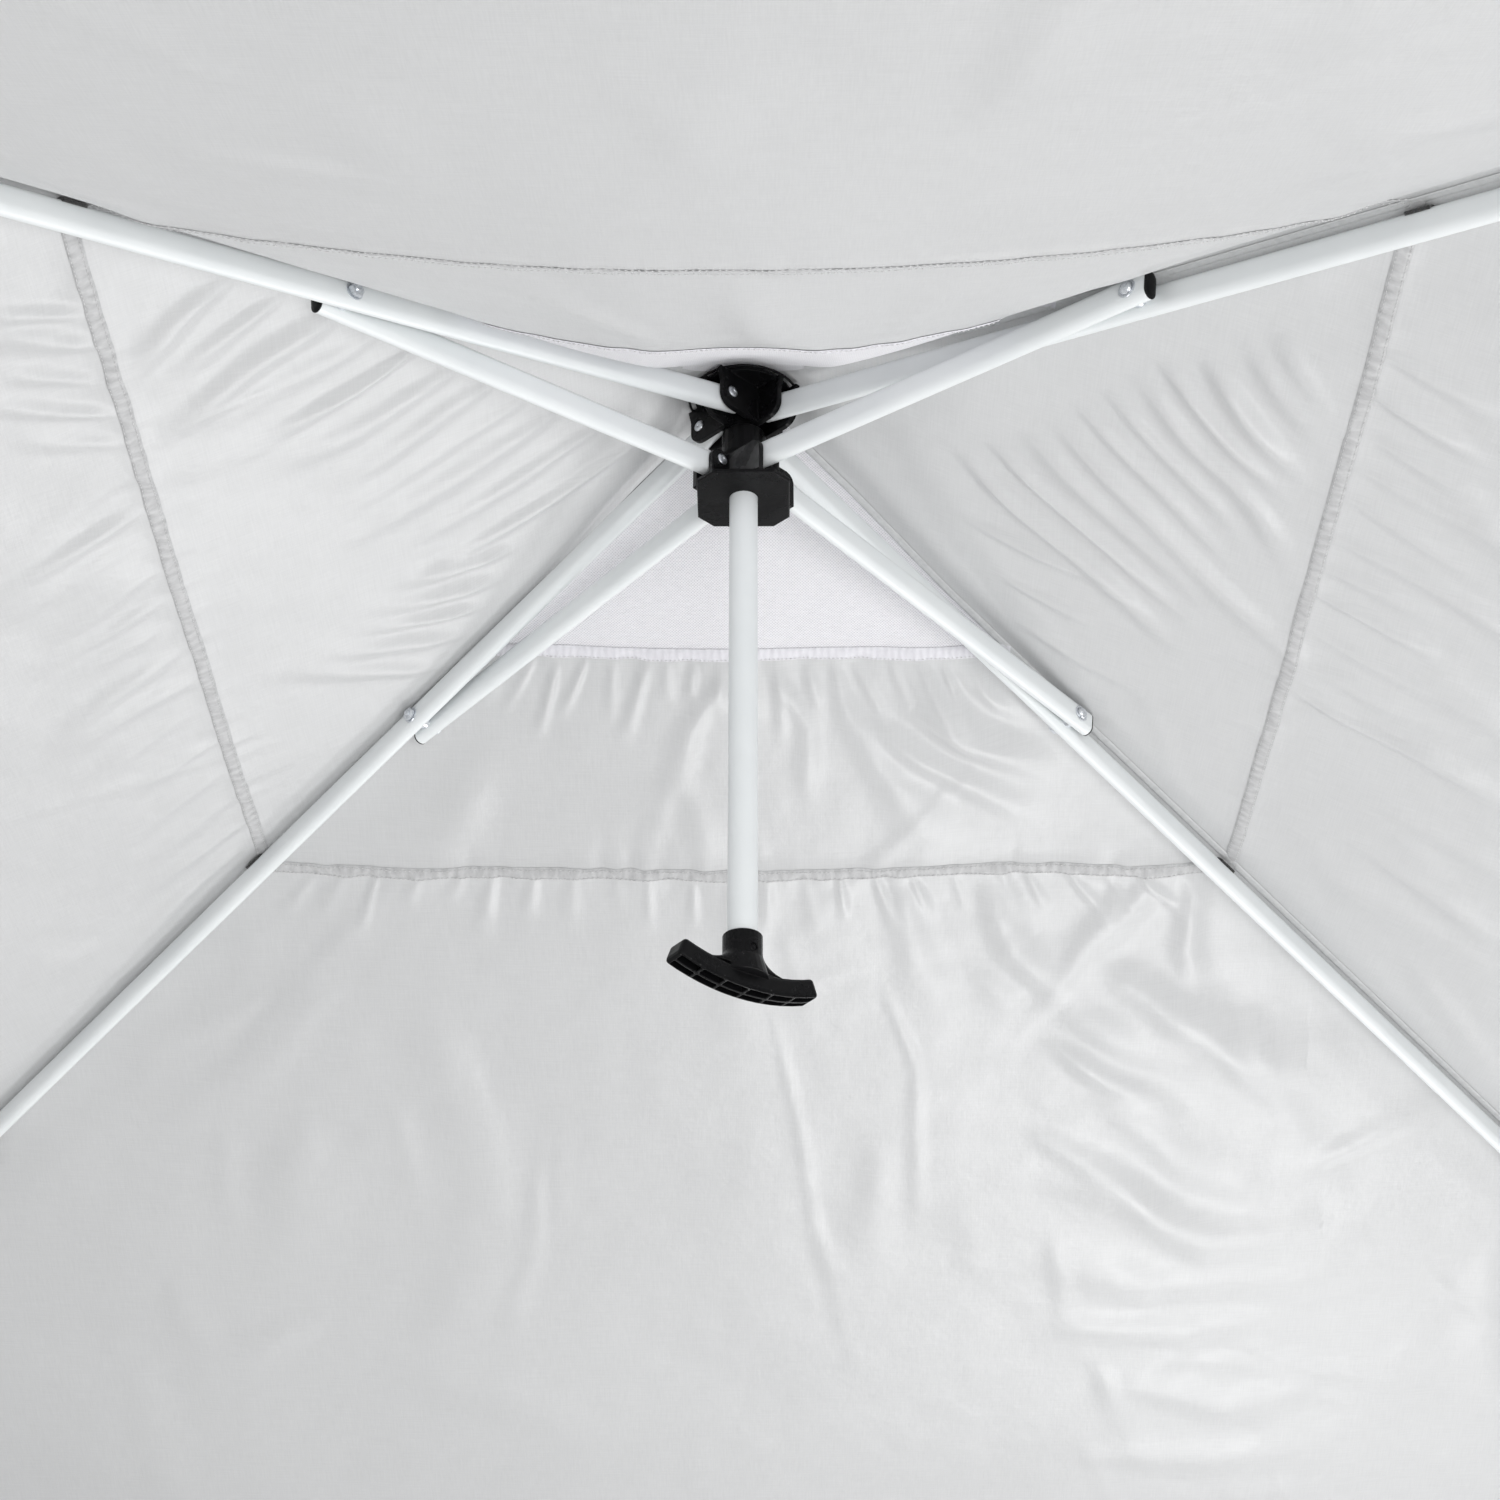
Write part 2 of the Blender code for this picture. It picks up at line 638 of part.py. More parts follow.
def roof_strip(name, look, turn, inner, outer, valance):
    """One slope of the roof between two plan distances, with or without a valance."""
    profile = [(inner, roof_z(inner)), (inner, roof_z(inner) + CLOTH), (outer, roof_z(outer) + CLOTH)]
    if valance:
        bottom = roof_z(outer) - VALANCE_DROP
        profile += [(outer, bottom), (outer - CLOTH, bottom), (outer - CLOTH, roof_z(outer - CLOTH))]
    else:
        profile += [(outer, roof_z(outer))]
    bm = bmesh.new()
    ends = [[bm.verts.new((a, side * (a - MITRE), z)) for a, z in profile] for side in (-1, 1)]
    bridge(bm, *ends)
    for ring in ends:
        bm.faces.new(ring)
    return finished(bm, name, look, Matrix.Rotation(math.radians(turn), 4, "Z"))


def vent_cap(look):
    """A small pyramid of cloth held clear above the vent mesh."""
    bm = bmesh.new()
    half = VENT_CAP_HALF
    layers = []
    for lift in (VENT_CAP_LIFT, VENT_CAP_LIFT + CLOTH):
        ring = [bm.verts.new((x, y, roof_z(half) + lift)) for x, y in square(2 * half)]
        layers.append((bm.verts.new((0, 0, ROOF_Z + lift)), ring))
    for tip, ring in layers:
        for i in range(4):
            bm.faces.new((tip, ring[i], ring[(i + 1) % 4]))
    bridge(bm, layers[0][1], layers[1][1])
    return finished(bm, "vent_cap", look)


def roof(cloth, mesh):
    for name, turn in (("right", 0), ("left", 180)):
        roof_strip(f"roof_panel_{name}", cloth, turn, ROOF_HOLE, EAVE_HALF, True)
    for name, turn in (("front", 270), ("back", 90)):
        roof_strip(f"roof_panel_{name}", cloth, turn, VENT_HALF + GAP, EAVE_HALF, True)
        roof_strip(f"vent_mesh_{name}", mesh, turn, ROOF_HOLE, VENT_HALF - GAP, False)
    vent_cap(cloth)


def main():
    for old in list(bpy.data.objects):
        bpy.data.objects.remove(old)
    white = material("white_coat", (0.80, 0.82, 0.83), 0.35)
    black = material("black_plastic", (0.012, 0.012, 0.014), 0.40)
    zinc = material("zinc_steel", (0.62, 0.64, 0.66), 0.30, 1.0)
    cloth = material("roof_cloth", (0.66, 0.66, 0.67), 0.60)
    mesh = material("vent_mesh", (0.74, 0.74, 0.76), 0.80)
    hub(black)
    hub_cap(black)
    slider(black)
    handle_tube(white)
    handle_grip(black)
    for number in CORNERS:
        on_hub = at(PIVOT_U, RIB_SIDE, HUB_Z)
        on_slider = at(SLIDER_PIVOT_U, -RIB_SIDE, SLIDER_Z)
        screw(f"hub_screw_{number}", zinc, corner(number) @ on_hub)
        screw(f"slider_screw_{number}", zinc, corner(number) @ on_slider)
    ribs(white, black, zinc)
    legs(white, black, zinc)
    roof(cloth, mesh)


main()
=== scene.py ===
"""Looks of a 3 m pop up canopy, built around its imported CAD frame. Metres, +Z up.

The camera stands under the roof and looks up at the hub. Each corner has its own directions, as in
the frame: u runs outward along the rib, v is u turned 90 degrees anticlockwise, and z is up. The
roof has four slopes. A place on a slope is a, its plan distance from the hub's axis, and t, its
distance across the slope from the middle. Roof cloth is parted where the frame folds: along the
middle of each slope, and across each ridge at the ribs' middle pivot.
"""

import json
import math

import bmesh
import bpy
import numpy as np
from mathutils import Matrix, Vector

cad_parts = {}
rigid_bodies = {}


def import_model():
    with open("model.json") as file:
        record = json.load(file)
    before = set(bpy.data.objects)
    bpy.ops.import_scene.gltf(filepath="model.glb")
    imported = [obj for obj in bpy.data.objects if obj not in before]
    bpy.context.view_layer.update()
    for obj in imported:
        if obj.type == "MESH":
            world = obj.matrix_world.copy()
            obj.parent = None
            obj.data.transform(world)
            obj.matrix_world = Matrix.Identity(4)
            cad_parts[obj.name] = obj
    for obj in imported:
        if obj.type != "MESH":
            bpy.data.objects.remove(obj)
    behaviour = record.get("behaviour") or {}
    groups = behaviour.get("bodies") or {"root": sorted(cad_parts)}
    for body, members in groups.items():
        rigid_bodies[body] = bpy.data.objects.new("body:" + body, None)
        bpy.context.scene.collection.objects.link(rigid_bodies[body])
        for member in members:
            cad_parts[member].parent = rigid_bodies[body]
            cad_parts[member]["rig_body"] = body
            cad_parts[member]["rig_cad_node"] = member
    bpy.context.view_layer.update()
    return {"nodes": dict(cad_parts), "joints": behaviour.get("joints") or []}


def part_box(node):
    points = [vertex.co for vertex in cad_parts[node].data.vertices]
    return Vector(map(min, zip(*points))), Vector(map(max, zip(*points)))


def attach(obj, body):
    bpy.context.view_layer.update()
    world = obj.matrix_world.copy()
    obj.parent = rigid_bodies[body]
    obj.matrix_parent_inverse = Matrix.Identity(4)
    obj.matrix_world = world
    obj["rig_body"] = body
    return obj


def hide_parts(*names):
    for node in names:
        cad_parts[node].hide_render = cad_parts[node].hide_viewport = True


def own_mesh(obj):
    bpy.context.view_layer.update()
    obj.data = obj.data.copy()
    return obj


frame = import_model()

CORNERS = (1, 2, 3, 4)
SLOPES = ("right", "back", "left", "front")  # slope i faces 90 * i degrees
ROOT_2 = math.sqrt(2)
MM = 0.001


# --- places, read from the frame ---


def corner(number):
    """The matrix that turns a corner's u, v and z into X, Y and Z."""
    return Matrix.Rotation(math.radians(45 + 90 * (number - 1)), 4, "Z")


def joint_place(name):
    """A joint's point in the directions of corner 1."""
    joint = next(j for j in frame["joints"] if j["name"] == name)
    return corner(1).inverted() @ Vector(joint["pos_m"])


HUB_PIN = joint_place("fold")
SLIDER_PIN = joint_place("strut_hinge_1")
KNUCKLE = joint_place("knuckle_hinge_1")
CORNER_PIN = joint_place("corner_hinge_1")
HUB_Z = HUB_PIN.z
RIB_SIDE = HUB_PIN.y
RIB_SLOPE = math.atan2(HUB_Z - KNUCKLE.z, KNUCKLE.x - HUB_PIN.x)
LEG_U = (corner(1).inverted() @ (sum(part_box("outer_leg_1"), Vector()) / 2)).x
BOLT = corner(1).inverted() @ (sum(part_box("strut_bolt_1"), Vector()) / 2)
STRUT_SLOPE = math.atan2(SLIDER_PIN.z - BOLT.z, BOLT.x - SLIDER_PIN.x)
STRUT_LENGTH = math.hypot(BOLT.x - SLIDER_PIN.x, BOLT.z - SLIDER_PIN.z)
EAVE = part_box("roof_panel_right")[1].x
VALANCE_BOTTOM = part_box("roof_panel_right")[0].z
CAP_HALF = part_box("vent_cap")[1].x

# --- sizes that only the looks need ---

RIB_WIDTH = 0.012
RIB_DEPTH = 0.022
RIB_WALL = 0.0012
RIB_OVERHANG = 0.018  # tube past its middle pivot
LEG_SIZE = 0.025
INNER_LEG_SIZE = 0.020
LEG_WALL = 0.0012
GRIP_TURN = math.radians(36)  # of the grip's bar around the pull tube, from +X

RIDGE_CLEAR = 0.024  # cloth over the ribs' centre line at the hub and at the corners
RIB_REST = 0.0072  # how much lower it lies between them, on the ribs
ROOF_TOP = HUB_Z + RIDGE_CLEAR + math.tan(RIB_SLOPE) * HUB_PIN.x
ROOF_FALL = math.tan(RIB_SLOPE) * ROOT_2
SLANT = math.hypot(1, ROOF_FALL)  # cloth length for each unit of plan distance
SPLIT = KNUCKLE.x * ROOT_2  # |x| + |y| where the cloth is parted at the ribs' middle pivot
APEX_A = 0.012
HEM_A = 0.224  # foot of the vent mesh
RING_A = {"front": 0.429, "left": 0.430, "right": 0.431, "back": 0.436}  # ring seam on each slope
RING_WIDTH = 0.0105
FRONT_RING_WIDTH = 0.0022  # the front slope's seam shows only its stitched edge
RIDGE_WIDTH = 0.007
RIDGE_ROWS = (-0.0026, 0.0026)  # stitches beside the ridge
HEM_WIDTH = 0.0105
BINDING_WIDTH = 0.012
TAPE_THICK = 0.0008
TAPE_GAP = 0.0004  # air between the cloth and the tape under it
ON_TOP = 0.0004  # height of a stitch over the cloth
LONG_STITCH = 0.005
VALANCE_FLAT = 0.25  # its height as cut
VALANCE_HEM = 0.024
TAB_LENGTH = 0.018
TAB_THICK = 0.0024


# --- meshes ---


def new_object(name, data):
    made = bpy.data.objects.new(name, data)
    bpy.context.scene.collection.objects.link(made)
    return made


def mesh_object(name, points, faces, look):
    mesh = bpy.data.meshes.new(name)
    mesh.from_pydata([tuple(p) for p in points], [], faces)
    mesh.materials.append(look)
    mesh.shade_smooth()
    return new_object(name, mesh)


def grid_faces(rows, columns, first=0):
    index = first + np.arange(rows * columns).reshape(rows, columns)
    corners = (index[:-1, :-1], index[1:, :-1], index[1:, 1:], index[:-1, 1:])
    return np.stack([c.ravel() for c in corners], 1).tolist()


def from_bmesh(name, bm, look, sharp=35):
    bmesh.ops.recalc_face_normals(bm, faces=bm.faces)
    mesh = bpy.data.meshes.new(name)
    bm.to_mesh(mesh)
    bm.free()
    mesh.materials.append(look)
    mesh.shade_smooth()
    mesh.set_sharp_from_angle(angle=math.radians(sharp))
    return new_object(name, mesh)


def joined(name, objects):
    """One object from several, with their materials."""
    with bpy.context.temp_override(active_object=objects[0], selected_editable_objects=objects):
        bpy.ops.object.join()
    objects[0].name = name
    objects[0].data.name = name
    return objects[0]


def applied(obj):
    """Fixes the modifiers' result in the mesh."""
    shape = obj.evaluated_get(bpy.context.evaluated_depsgraph_get())
    mesh = bpy.data.meshes.new_from_object(shape)
    obj.modifiers.clear()
    obj.data = mesh
    return obj


def circle(radius, steps):
    """Points of a circle around the origin."""
    turns = np.linspace(0, 2 * math.pi, steps, endpoint=False)
    return [(radius * math.cos(t), radius * math.sin(t)) for t in turns]


def shell(rings, closed=False, capped=False, bm=None):
    """A mesh skinned over rings of points; closed joins the last ring to the first."""
    bm = bmesh.new() if bm is None else bm
    rings = [[bm.verts.new(p) for p in ring] for ring in rings]
    for first, second in zip(rings, rings[1:] + (rings[:1] if closed else [])):
        for i in range(len(first)):
            j = (i + 1) % len(first)
            bm.faces.new((first[i], first[j], second[j], second[i]))
    if capped:
        bm.faces.new(rings[0])
        bm.faces.new(rings[-1])
    return bm


def smooth_step(x):
    x = np.clip(x, 0, 1)
    return x * x * (3 - 2 * x)


# --- materials ---


def add(tree, kind, inputs=None, **settings):
    """A node with its settings, its values and its links."""
    node = tree.nodes.new("ShaderNode" + kind)
    for key, value in settings.items():
        setattr(node, key, value)
    for key, value in (inputs or {}).items():
        if isinstance(value, bpy.types.NodeSocket):
            tree.links.new(value, node.inputs[key])
        else:
            node.inputs[key].default_value = value
    return node


def ramp(tree, factor, stops):
    """Colours or values that follow a factor."""
    node = add(tree, "ValToRGB", {"Fac": factor})
    while len(node.color_ramp.elements) < len(stops):
        node.color_ramp.elements.new(0.5)
    for element, (place, colour) in zip(node.color_ramp.elements, stops):
        element.position = place
        shade = (colour,) * 3 if isinstance(colour, float) else colour
        element.color = (*shade, 1)
    return node.outputs["Color"]


def noise(tree, vector, scale, detail=2.0, roughness=0.5):
    inputs = {"Vector": vector, "Scale": scale, "Detail": detail, "Roughness": roughness}
    return add(tree, "TexNoise", inputs).outputs[0]


def maths(tree, operation, *values):
    inputs = {index: value for index, value in enumerate(values)}
    return add(tree, "Math", inputs, operation=operation).outputs[0]


def stretched(tree, vector, factors):
    return add(tree, "VectorMath", {0: vector, 1: factors}, operation="MULTIPLY").outputs[0]


def tinted(tree, colour, factor):
    """A colour multiplied by a grey pattern."""
    mixed = add(tree, "Mix", {0: 1.0, 6: colour, 7: factor}, data_type="RGBA", blend_type="MULTIPLY")
    return mixed.outputs[2]


def bumped(tree, height, distance, under=None):
    inputs = {"Height": height, "Distance": distance, "Strength": 1.0}
    if under:
        inputs["Normal"] = under
    return add(tree, "Bump", inputs).outputs["Normal"]


def new_look(name, **values):
    """A material with one Principled shader; returns it with its node tree."""
    look = bpy.data.materials.new(name)
    look.use_nodes = True
    for key, value in values.items():
        socket = key.replace("_", " ").title().replace("Ior", "IOR")
        look.node_tree.nodes["Principled BSDF"].inputs[socket].default_value = value
    return look, look.node_tree


def wired(look, colour, roughness, normal):
    """Links colour, roughness and normal to the shader; None leaves its plain value."""
    shader = look.node_tree.nodes["Principled BSDF"]
    for key, socket in (("Base Color", colour), ("Roughness", roughness), ("Normal", normal)):
        if socket:
            look.node_tree.links.new(socket, shader.inputs[key])
    return look


def object_place(tree):
    return add(tree, "TexCoord").outputs["Object"]


def weave_place(tree):
    return add(tree, "Attribute", attribute_name="weave").outputs["Vector"]


def coated_metal():
    """White powder coat: orange peel, faint dirt and small scuffs."""
    look, tree = new_look("white_coat", coat_weight=0.12, coat_roughness=0.2)
    place = object_place(tree)
    cloud = noise(tree, place, 9.0, 3.0)
    scuff = noise(tree, stretched(tree, place, (1, 1, 7)), 160.0, 6.0, 0.72)
    colour = ramp(tree, cloud, ((0.3, (0.80, 0.83, 0.84)), (0.7, (0.86, 0.885, 0.89))))
    colour = tinted(tree, colour, ramp(tree, scuff, ((0.24, 0.62), (0.30, 1.0))))
    rough = ramp(tree, noise(tree, place, 60.0, 4.0), ((0.35, 0.30), (0.7, 0.42)))
    peel = bumped(tree, noise(tree, place, 420.0, 2.0), 0.00006)
    return wired(look, colour, rough, bumped(tree, scuff, 0.00002, peel))


def moulded_plastic():
    """Black nylon: fine grain, a soft sheen, and corners rubbed paler."""
    look, tree = new_look("black_plastic", specular_ior_level=0.12)
    place = object_place(tree)
    edge = add(tree, "NewGeometry").outputs["Pointiness"]
    cloud = noise(tree, place, 45.0, 4.0)
    wear = maths(tree, "MULTIPLY", ramp(tree, edge, ((0.535, 0.0), (0.60, 1.0))), cloud)
    shades = ((0.0, (0.005, 0.005, 0.0055)), (0.35, (0.012, 0.012, 0.013)), (1.0, (0.16, 0.16, 0.16)))
    colour = ramp(tree, wear, shades)
    rough = ramp(tree, cloud, ((0.3, 0.22), (0.7, 0.36)))
    grain = bumped(tree, noise(tree, place, 1500.0, 2.0), 0.00008)
    flow = bumped(tree, noise(tree, place, 90.0, 2.0), 0.00025, grain)
    return wired(look, colour, rough, flow)


def plated_steel():
    """Zinc plating: spangled brightness, fine tooling marks, and painted shade that darkens recesses and
    concave edges.
    """
    look, tree = new_look("zinc_steel", metallic=1.0)
    place = object_place(tree)
    cloud = noise(tree, place, 300.0, 4.0)
    colour = ramp(tree, cloud, ((0.3, (0.62, 0.65, 0.69)), (0.7, (0.86, 0.88, 0.91))))
    edge = add(tree, "NewGeometry").outputs["Pointiness"]
    # painted shade: concave places (low pointiness) are coloured darker, as if in shadow
    colour = tinted(tree, colour, ramp(tree, edge, ((0.42, 0.10), (0.488, 1.0))))
    rough = ramp(tree, noise(tree, place, 900.0, 3.0), ((0.3, 0.24), (0.7, 0.40)))
    return wired(look, colour, rough, bumped(tree, cloud, 0.00006))


def thread_pattern(tree, place, pitch):
    """Plain weave: crowns of the threads in a chequer."""
    split = add(tree, "SeparateXYZ", {0: place})
    turn = 2 * math.pi / pitch
    waves = [maths(tree, "SINE", maths(tree, "MULTIPLY", split.outputs[i], turn)) for i in (0, 1)]
    return maths(tree, "MULTIPLY_ADD", maths(tree, "MULTIPLY", *waves), 0.5, 0.5)


def woven(name, light, dark, sheen, rough):
    """Coated plain weave with uneven threads both ways, and a slight crumple."""
    look, tree = new_look(name, sheen_weight=sheen, sheen_roughness=0.45)
    place = weave_place(tree)
    warp = noise(tree, stretched(tree, place, (900, 38, 1)), 1.0, 3.0, 0.6)
    weft = noise(tree, stretched(tree, place, (30, 820, 1)), 1.0, 3.0, 0.6)
    threads = maths(tree, "MULTIPLY", maths(tree, "ADD", warp, weft), 0.5)
    cloud = noise(tree, place, 2.6, 3.0)
    tone = ramp(tree, cloud, ((0.3, dark), (0.7, light)))
    colour = tinted(tree, tone, ramp(tree, threads, ((0.33, 0.91), (0.66, 1.0))))
    roughness = ramp(tree, noise(tree, place, 25.0, 3.0), ((0.3, rough[0]), (0.7, rough[1])))
    crumple = bumped(tree, noise(tree, place, 30.0, 4.0, 0.55), 0.0011)
    slubs = bumped(tree, threads, 0.00010, crumple)
    return wired(look, colour, roughness, bumped(tree, thread_pattern(tree, place, 0.0013), 0.00005, slubs))


def ribbed_tape(name, light, dark, pitch, ribs):
    """Folded binding with uneven puckers, and even ones at a pitch, as strong as ribs says; painted shade
    darkens its colour in the puckers' hollows.
    """
    look, tree = new_look(name, sheen_weight=0.1, sheen_roughness=0.5, roughness=0.6)
    place = weave_place(tree)
    along = add(tree, "SeparateXYZ", {0: place}).outputs[0]
    wave = maths(tree, "SINE", maths(tree, "MULTIPLY", along, 2 * math.pi / pitch))
    drift = noise(tree, stretched(tree, place, (210, 110, 1)), 1.0, 4.0, 0.6)
    height = maths(tree, "MULTIPLY_ADD", wave, ribs, drift)
    # painted shade: the colour follows the puckers' height, going to the dark colour in their hollows
    colour = ramp(tree, height, ((0.25, dark), (0.68, light)))
    return wired(look, colour, None, bumped(tree, height, 0.0005))


def knitted():
    """Knitted vent mesh: a close net of pale loops with small dark holes. The loops' paleness is painted
    light, standing in for daylight shining through the mesh.
    """
    look, tree = new_look("vent_mesh", sheen_weight=0.25, sheen_roughness=0.5, roughness=0.75)
    place = weave_place(tree)
    cells = thread_pattern(tree, place, 0.0026)
    uneven = noise(tree, stretched(tree, place, (120, 420, 1)), 1.0, 3.0)
    height = maths(tree, "MULTIPLY_ADD", uneven, 0.5, cells)
    # painted light: the pale loop colour stands in for daylight shining through the mesh
    colour = ramp(tree, height, ((0.35, (0.64, 0.635, 0.67)), (0.80, (0.86, 0.85, 0.88))))
    return wired(look, colour, None, bumped(tree, height, 0.0003))


def stitched_thread():
    look, tree = new_look("thread", roughness=0.6, sheen_weight=0.3)
    place = object_place(tree)
    twist = noise(tree, place, 2500.0, 1.0)
    return wired(look, ramp(tree, twist, ((0.3, 0.60), (0.7, 0.80))), None, bumped(tree, twist, 0.0001))


def hook_and_loop():
    look, tree = new_look("hook_and_loop", roughness=0.95, sheen_weight=0.4)
    place = object_place(tree)
    fuzz = noise(tree, place, 1600.0, 3.0, 0.7)
    colour = ramp(tree, fuzz, ((0.3, 0.006), (0.7, 0.035)))
    return wired(look, colour, None, bumped(tree, fuzz, 0.0009))


def pale_floor():
    look, tree = new_look("floor", roughness=0.85)
    place = object_place(tree)
    cloud = noise(tree, place, 0.8, 4.0)
    colour = ramp(tree, cloud, ((0.3, (0.79, 0.79, 0.78)), (0.7, (0.83, 0.83, 0.82))))
    return wired(look, colour, None, bumped(tree, noise(tree, place, 60.0, 3.0), 0.0004))


WHITE = coated_metal()
BLACK = moulded_plastic()
ZINC = plated_steel()
CLOTH = woven("roof_cloth", (0.665, 0.668, 0.672), (0.640, 0.643, 0.648), 0.08, (0.30, 0.40))
# each tape's second colour is the painted shade in its puckers' hollows
SEAM = ribbed_tape("seam_tape", (0.60, 0.60, 0.605), (0.44, 0.44, 0.445), 0.0105, 0.07)
HEM = ribbed_tape("hem_tape", (0.82, 0.81, 0.85), (0.70, 0.69, 0.73), 0.0060, 0.12)
RIDGE = ribbed_tape("ridge_tape", (0.68, 0.685, 0.69), (0.58, 0.585, 0.59), 0.0125, 0.03)
MESH = knitted()
THREAD = stitched_thread()
TAB = hook_and_loop()


# --- shape of the roof cloth ---

# For each slope: how deep it sags at its middle, how far out (a power) the deepest point lies, and
# over what distance from the ridge the sag sets in.
SAG = {
    "front": (0.0550, 0.575, 0.024),
    "back": (0.036, 2.2, 0.060),
    "left": (0.014, 2.0, 0.100),
    "right": (0.014, 2.0, 0.100),
}

# Fans of folds, in millimetres: (a, t) of the first and last fold's start, the same for their ends,
# how many, half width and depth.
FANS = {
    "left": (
        (((335, 318), (80, -18)), ((455, 240), (330, -105)), 11, 13, 7),
        (((185, -98), (250, -225)), ((310, -85), (410, -135)), 5, 11.5, 6),
        (((434, 330), (434, 190)), ((510, 380), (530, 250)), 5, 11, 4.8),
        (((434, 160), (434, -120)), ((560, 90), (590, -170)), 8, 14, 5),
        (((434, -160), (434, -390)), ((550, -200), (560, -490)), 6, 14, 3.6),
        (((520, 440), (640, 300)), ((760, 560), (860, 240)), 6, 22, 4.2),
    ),
    "right": (
        (((366, -268), (165, -20)), ((440, -150), (450, 215)), 11, 12.5, 7.4),
        (((434, -290), (434, 130)), ((560, -240), (620, 180)), 11, 12, 5.8),
        (((500, -360), (520, 330)), ((640, -250), (720, 420)), 8, 19, 5.6),
        (((180, 60), (230, 180)), ((330, 95), (380, 230)), 3, 12, 3),
    ),
    "back": (
        (((230, -212), (230, 205)), ((305, -270), (310, 250)), 19, 7, 2.6),
        (((438, -420), (438, 390)), ((505, -480), (500, 430)), 25, 7.5, 2.2),
        (((286, -108), (236, -180)), ((380, -250), (330, -290)), 4, 15, 6.6),
        (((540, -300), (700, -250)), ((640, -520), (900, -560)), 5, 24, 5.6),
        (((540, 440), (1000, 350)), ((620, 280), (1080, 120)), 4, 35, 4),
    ),
    "front": (
        (((260, -60), (250, 180)), ((420, -150), (430, 330)), 4, 22, 3),
        (((500, -350), (700, 300)), ((700, -450), (1000, 420)), 5, 42, 3.5),
    ),
}

# Single folds along bent lines, in millimetres: (a, t) points, half width and depth. The slack cloth
# of the back slope hangs in swags from its ridge; thin ones are sharp creases.
CREASES = {
    "back": (
        (((745, -270), (785, -360), (840, -450), (845, -560), (780, -680)), 34, 7.8),
        (((670, -320), (715, -392), (764, -459), (814, -500)), 26, 6.6),
        (((560, -350), (620, -435), (650, -520), (610, -610)), 34, 8.8),
        (((760, -530), (716, -610), (680, -690)), 22, 5.2),
        (((855, -280), (890, -400), (890, -540), (845, -760)), 30, 5.6),
        (((940, -290), (955, -435), (930, -580)), 26, 4.4),
        (((1020, -360), (1054, -488), (1030, -640)), 26, 3.8),
        (((1110, -340), (1130, -479), (1100, -620)), 26, 3.4),
        (((440, -372), (480, -335), (560, -270)), 20, 6.2),
        (((450, -395), (517, -394), (600, -420)), 18, 5.6),
        (((442, -210), (520, -240), (600, -330)), 22, 6),
        (((440, -140), (504, -150), (607, -186)), 20, 4.6),
        (((250, -60), (340, -130), (425, -190)), 20, 5),
        (((240, -130), (300, -190), (340, -280)), 18, 5.5),
        (((234, 10), (300, 50), (390, 80)), 14, 4.4),
        (((234, -20), (290, -50), (400, -60)), 12, 3.4),
        (((560, -20), (700, -46), (807, -65), (1045, -115)), 9.5, 1.5),
        (((540, -122), (643, -157), (864, -164)), 9.5, 1.6),
        (((560, 300), (780, 250), (1000, 300)), 40, 5),
    ),
    "left": ((((330, 195), (410, 185)), 7, 1.4),),
    "right": ((((215, 75), (330, 95)), 7, 1.2),),
    "front": (),
}
STRAY_FOLDS = {"left": 46, "right": 40, "back": 60, "front": 26}
ROUGHNESS = {"left": 1.0, "right": 0.75, "back": 1.15, "front": 0.5}  # of the cloth's small waves


def wander(x, pitch, seed):
    """A smooth random curve between -1 and 1."""
    values = np.random.default_rng(seed).uniform(-1, 1, 512)
    place = x / pitch + 200  # shifted, as the next function's rows and columns are, to stay positive
    index = np.floor(place).astype(int) % 511
    share = smooth_step(place - np.floor(place))
    return values[index] * (1 - share) + values[index + 1] * share


def rumple(a, t, pitch, seed):
    """Smooth random hills between -1 and 1."""
    lattice = np.random.default_rng(seed).uniform(-1, 1, (128, 128))
    row, column = a / pitch + 40, t / pitch + 60
    i, j = np.floor(row).astype(int) % 127, np.floor(column).astype(int) % 127
    p, q = smooth_step(row - np.floor(row)), smooth_step(column - np.floor(column))
    near = lattice[i, j] * (1 - q) + lattice[i, j + 1] * q
    far = lattice[i + 1, j] * (1 - q) + lattice[i + 1, j + 1] * q
    return near * (1 - p) + far * p


def fold_depth(a, t, points, width, depth):
    """A soft fold along a bent line, hollow on both sides, that flares and fades towards its end."""
    result = np.zeros_like(a)
    low, high = np.min(points, 0) - 3 * width, np.max(points, 0) + 3 * width
    near = (a > low[0]) & (a < high[0]) & (t > low[1]) & (t < high[1])
    p, q = a[near], t[near]
    runs = np.diff(points, axis=0)
    lengths = np.hypot(*runs.T)
    starts = np.r_[0, np.cumsum(lengths)]
    gap, place = np.full(p.shape, np.inf), np.zeros(p.shape)
    for point, run, length, start in zip(points, runs, lengths, starts):
        share = np.clip(((p - point[0]) * run[0] + (q - point[1]) * run[1]) / length ** 2, 0, 1)
        away = np.hypot(p - point[0] - share * run[0], q - point[1] - share * run[1])
        place = np.where(away < gap, start + share * length, place)
        gap = np.minimum(away, gap)
    whole = starts[-1]
    fade = smooth_step((place + 0.6 * width) / (0.20 * whole + width))
    fade = fade * smooth_step((whole - place + 0.4 * width) / (0.50 * whole + width))
    across = (gap / (width * (0.65 + 0.7 * place / whole))) ** 2
    result[near] = depth * fade * np.exp(-across) * (1 - 0.6 * across)
    return result


